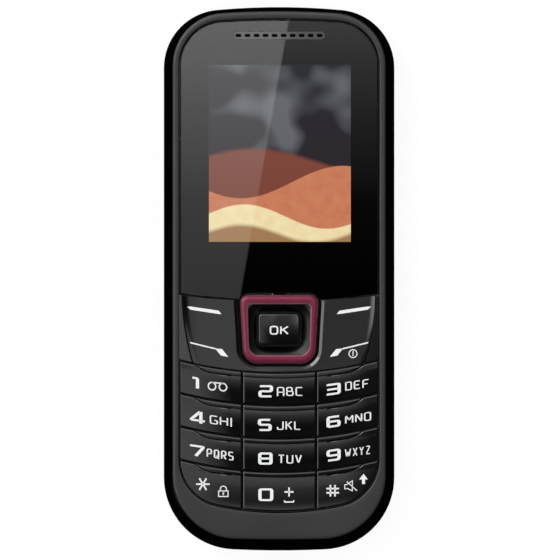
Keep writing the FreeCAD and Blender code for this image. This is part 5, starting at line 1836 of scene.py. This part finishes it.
@dataclass(frozen=True)
class Studio:
    """Pale floor, soft lights, the reflection card above and the camera."""

    lobes: tuple[Lobe, ...] = (
        Lobe((-0.95, 0.31), 2.0, ((-1.0, 0.0), (0.44, 0.0), (0.52, 1.0), (0.86, 1.0), (0.92, 0.2), (1.0, 0.2)),
             4.6),
        Lobe((-0.707, 0.707), 2.5, ((-1.0, 0.0), (-0.2, 0.0), (-0.1, 1.0), (0.30, 1.0), (0.39, 0.0), (1.0, 0.0)),
             3.0),
        Lobe((0.0, 1.0), 2.0, ((-1.0, 0.0), (-0.2, 0.0), (0.0, 0.03), (0.40, 0.04), (0.50, 0.12), (0.80, 0.12),
                              (0.88, 1.0), (1.0, 1.0)), 5.4),
    )
    camera_height: float = 1.5
    picture_width: float = 110.88
    scale_height: float = 7.0
    centre: tuple[float, float] = (0.178, -0.238)
    card_height: float = 1.5
    card_half: tuple[float, float] = (0.5, 0.45)

    def camera(self) -> None:
        """A long lens straight above, framed so that a pixel is 0.198 mm at the widest outline."""
        data = bpy.data.cameras.new("front_camera")
        data.lens = data.sensor_width * (self.camera_height / MM - self.scale_height) / self.picture_width
        data.clip_end = 50.0
        camera = bpy.data.objects.new("front_camera", data)
        camera.location = (self.centre[0] * MM, self.centre[1] * MM, self.camera_height)
        bpy.context.scene.collection.objects.link(camera)
        bpy.context.scene.camera = camera

    def plane(self, name: str, half: tuple[float, float], height: float) -> bpy.types.Object:
        """A level rectangle that belongs to the studio."""
        x, y = half
        mesh = bpy.data.meshes.new(name)
        corners = [(-x, -y, height), (x, -y, height), (x, y, height), (-x, y, height)]
        mesh.from_pydata(corners, [], [(0, 1, 2, 3)])
        obj = bpy.data.objects.new(name, mesh)
        bpy.context.scene.collection.objects.link(obj)
        return obj

    def floor(self) -> None:
        """A pale floor that only the camera sees, and only from above: mostly its own even light."""
        floor = self.plane("floor", (4.0, 4.0), -0.0001)
        material = bpy.data.materials.new("pale_floor")
        material.use_nodes = True
        sketch = Sketch(material.node_tree)
        shader = material.node_tree.nodes["Principled BSDF"]
        noise = sketch.add("TexNoise", {"Vector": sketch.place(), "Scale": 3.0, "Detail": 2.0}).outputs[0]
        sketch.tree.links.new(sketch.mix(noise, (0.13, 0.13, 0.13), (0.15, 0.15, 0.15)),
                              shader.inputs["Base Color"])
        shader.inputs["Roughness"].default_value = 0.9
        shader.inputs["Specular IOR Level"].default_value = 0.0
        shader.inputs["Emission Color"].default_value = (0.88, 0.88, 0.88, 1.0)
        shader.inputs["Emission Strength"].default_value = 1.0
        clear = sketch.add("BsdfTransparent")
        behind = sketch.add("NewGeometry").outputs["Backfacing"]
        both = sketch.add("MixShader", {0: behind, 1: shader.outputs[0], 2: clear.outputs[0]})
        sketch.tree.links.new(both.outputs[0], material.node_tree.nodes["Material Output"].inputs[0])
        floor.data.materials.append(material)
        floor.visible_diffuse = False
        floor.visible_glossy = False
        floor.visible_transmission = False
        floor.visible_shadow = False

    def card(self) -> None:
        """The bright card that the window and the keys mirror.

        Its middle part lights the window: bright left of a slanted edge and dim right of it, both
        fading towards the foot. The rest lights the crowned keys: bright on the left, dark on the
        right, and between them bright under the window part and dark further down.
        """
        card = self.plane("reflection_card", self.card_half, self.card_height)
        material = bpy.data.materials.new("card_light")
        material.use_nodes = True
        sketch = Sketch(material.node_tree)
        sketch.tree.nodes.remove(sketch.tree.nodes["Principled BSDF"])
        axes = sketch.add("SeparateXYZ", {0: sketch.place()})
        x = sketch.math("DIVIDE", axes.outputs[0], MM)
        y = sketch.math("DIVIDE", axes.outputs[1], MM)
        slant = sketch.math("ADD", sketch.math("MULTIPLY", y, 0.1763), -14.0)
        left = sketch.math("DIVIDE", sketch.math("SUBTRACT", slant, x), 0.8, True)
        bright = sketch.steps(y, ((-10.0, 0.80), (31.0, 1.12), (63.0, 2.0), (87.0, 2.84), (110.0, 3.4)),
                              -10.0, 110.0)
        dim = sketch.steps(y, ((-10.0, 0.0), (31.0, 0.06), (63.0, 0.36), (87.0, 0.74), (110.0, 1.32)),
                           -10.0, 110.0)
        window = sketch.mix(left, dim, bright)
        west = sketch.steps(y, ((-260.0, 1.45), (-60.0, 1.30), (-36.0, 1.15), (20.0, 1.15)), -260.0, 20.0)
        middle = sketch.steps(y, ((-240.0, 0.0), (-180.0, 0.01), (-160.0, 0.08), (-141.0, 0.07), (-120.0, 0.04), (-108.0, 0.055),
                                  (-99.0, 0.09), (-91.0, 0.157), (-83.0, 0.245), (-75.0, 0.41),
                                  (-64.0, 0.55), (-58.0, 0.80), (-54.0, 1.5), (-44.0, 1.5), (-38.0, 0.9)),
                              -240.0, -38.0)
        east = sketch.steps(y, ((-240.0, 0.0), (-160.0, 0.10), (-50.0, 0.10), (-38.0, 0.62), (20.0, 0.62)), -240.0, 20.0)
        toward = sketch.add("MapRange", {"Value": x, "From Min": -250.0, "From Max": -140.0}).outputs[0]
        onward = sketch.add("MapRange", {"Value": x, "From Min": 170.0, "From Max": 250.0}).outputs[0]
        sides = sketch.mix(onward, sketch.mix(toward, west, middle), east)
        plate = sketch.steps(x, ((-400.0, 0.02), (-350.0, 0.06), (-310.0, 0.25), (-275.0, 0.55),
                                 (-245.0, 0.90), (-225.0, 1.15), (-20.0, 1.15), (20.0, 0.62),
                                 (260.0, 0.62), (300.0, 1.2), (345.0, 2.8), (400.0, 4.0)), -400.0, 400.0)
        above = sketch.add("MapRange", {"Value": y, "From Min": -44.0, "From Max": -38.0}).outputs[0]
        sides = sketch.mix(above, sides, plate)
        narrow = sketch.math("LESS_THAN", sketch.math("ABSOLUTE", x, 0.0), 55.0)
        high = sketch.math("MULTIPLY", sketch.math("GREATER_THAN", y, -20.0), sketch.math("LESS_THAN", y, 135.0))
        light = sketch.mix(sketch.math("MULTIPLY", narrow, high), sides, window)
        glow = sketch.add("Emission", {0: light, 1: 1.0})
        sketch.tree.links.new(glow.outputs[0], sketch.tree.nodes["Material Output"].inputs[0])
        card.data.materials.append(material)
        card.visible_camera = False
        card.visible_diffuse = False
        card.visible_shadow = False

    def light(self, name: str, place: tuple[float, float, float], size: float, power: float,
              mirrored: bool) -> None:
        """A square soft light aimed at the phone, seen in gloss only if it is mirrored."""
        data = bpy.data.lights.new(name, "AREA")
        data.size = size
        data.energy = power
        lamp = bpy.data.objects.new(name, data)
        lamp.location = place
        lamp.visible_glossy = mirrored
        x, y, z = place
        lamp.rotation_euler = (math.atan2(math.hypot(x, y), z), 0.0, math.atan2(x, -y))
        bpy.context.scene.collection.objects.link(lamp)

    def world(self) -> None:
        """Even light for matt surfaces; for gloss, a dark room with three patches of light.

        Each patch is its weight, times the cosine of the angle to its bearing raised to a power,
        times a share for the height.
        """
        world = bpy.data.worlds.new("soft_room")
        bpy.context.scene.world = world
        world.use_nodes = True
        sketch = Sketch(world.node_tree)
        background = world.node_tree.nodes["Background"]
        axes = sketch.add("SeparateXYZ", {0: sketch.add("TexCoord").outputs["Generated"]})
        across, along, height = axes.outputs[0], axes.outputs[1], axes.outputs[2]
        flat = sketch.math("SQRT", sketch.math("MAXIMUM", sketch.math(
            "SUBTRACT", 1.0, sketch.math("MULTIPLY", height, height)), 0.0001))
        mirrored = sketch.steps(height, ((-1.0, 0.0), (0.10, 0.0), (0.14, 0.03), (1.0, 0.03)), -1.0, 1.0)
        for lobe in self.lobes:
            along_x = sketch.math("MULTIPLY", across, lobe.bearing[0])
            along_y = sketch.math("MULTIPLY", along, lobe.bearing[1])
            cosine = sketch.math("DIVIDE", sketch.math("ADD", along_x, along_y), flat)
            narrowed = sketch.math("POWER", sketch.math("MAXIMUM", cosine, 0.0), lobe.power)
            share = sketch.math("MULTIPLY", narrowed, sketch.steps(height, lobe.heights, -1.0, 1.0))
            mirrored = sketch.math("ADD", mirrored, sketch.math("MULTIPLY", share, lobe.weight))
        diffuse = sketch.steps(height, ((-1.0, 0.80), (-0.3, 0.60), (0.0, 0.55), (0.4, 0.85), (1.0, 0.85)), -1.0, 1.0)
        glossy = sketch.add("LightPath").outputs["Is Glossy Ray"]
        camera = sketch.add("LightPath").outputs["Is Camera Ray"]
        light = sketch.mix(glossy, diffuse, mirrored)
        light = sketch.mix(camera, light, (0.97, 0.97, 0.97))
        sketch.tree.links.new(light, background.inputs[0])

    def build(self) -> None:
        """Sets up the whole studio."""
        bpy.context.scene.view_settings.view_transform = "Standard"
        self.camera()
        self.floor()
        self.card()
        self.world()
        self.light("window_light", (-0.75, 0.75, 1.2), 0.7, 9.0, True)
        self.light("fill_light", (0.95, -0.25, 0.8), 0.5, 2.5, False)


def main() -> None:
    """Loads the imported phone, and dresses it."""
    logging.basicConfig(level=logging.INFO, format="%(name)s %(message)s")
    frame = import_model()
    Studio().build()
    palette = Palette(FINISHES)
    FrontFrame().build(palette)
    Keypad().build(palette)
    FunctionPlate().build(palette)
    NavigationPad().build(palette)
    RearShell().build(palette, frame)
    Insides().build(palette, frame)


if __name__ == "__main__":
    main()
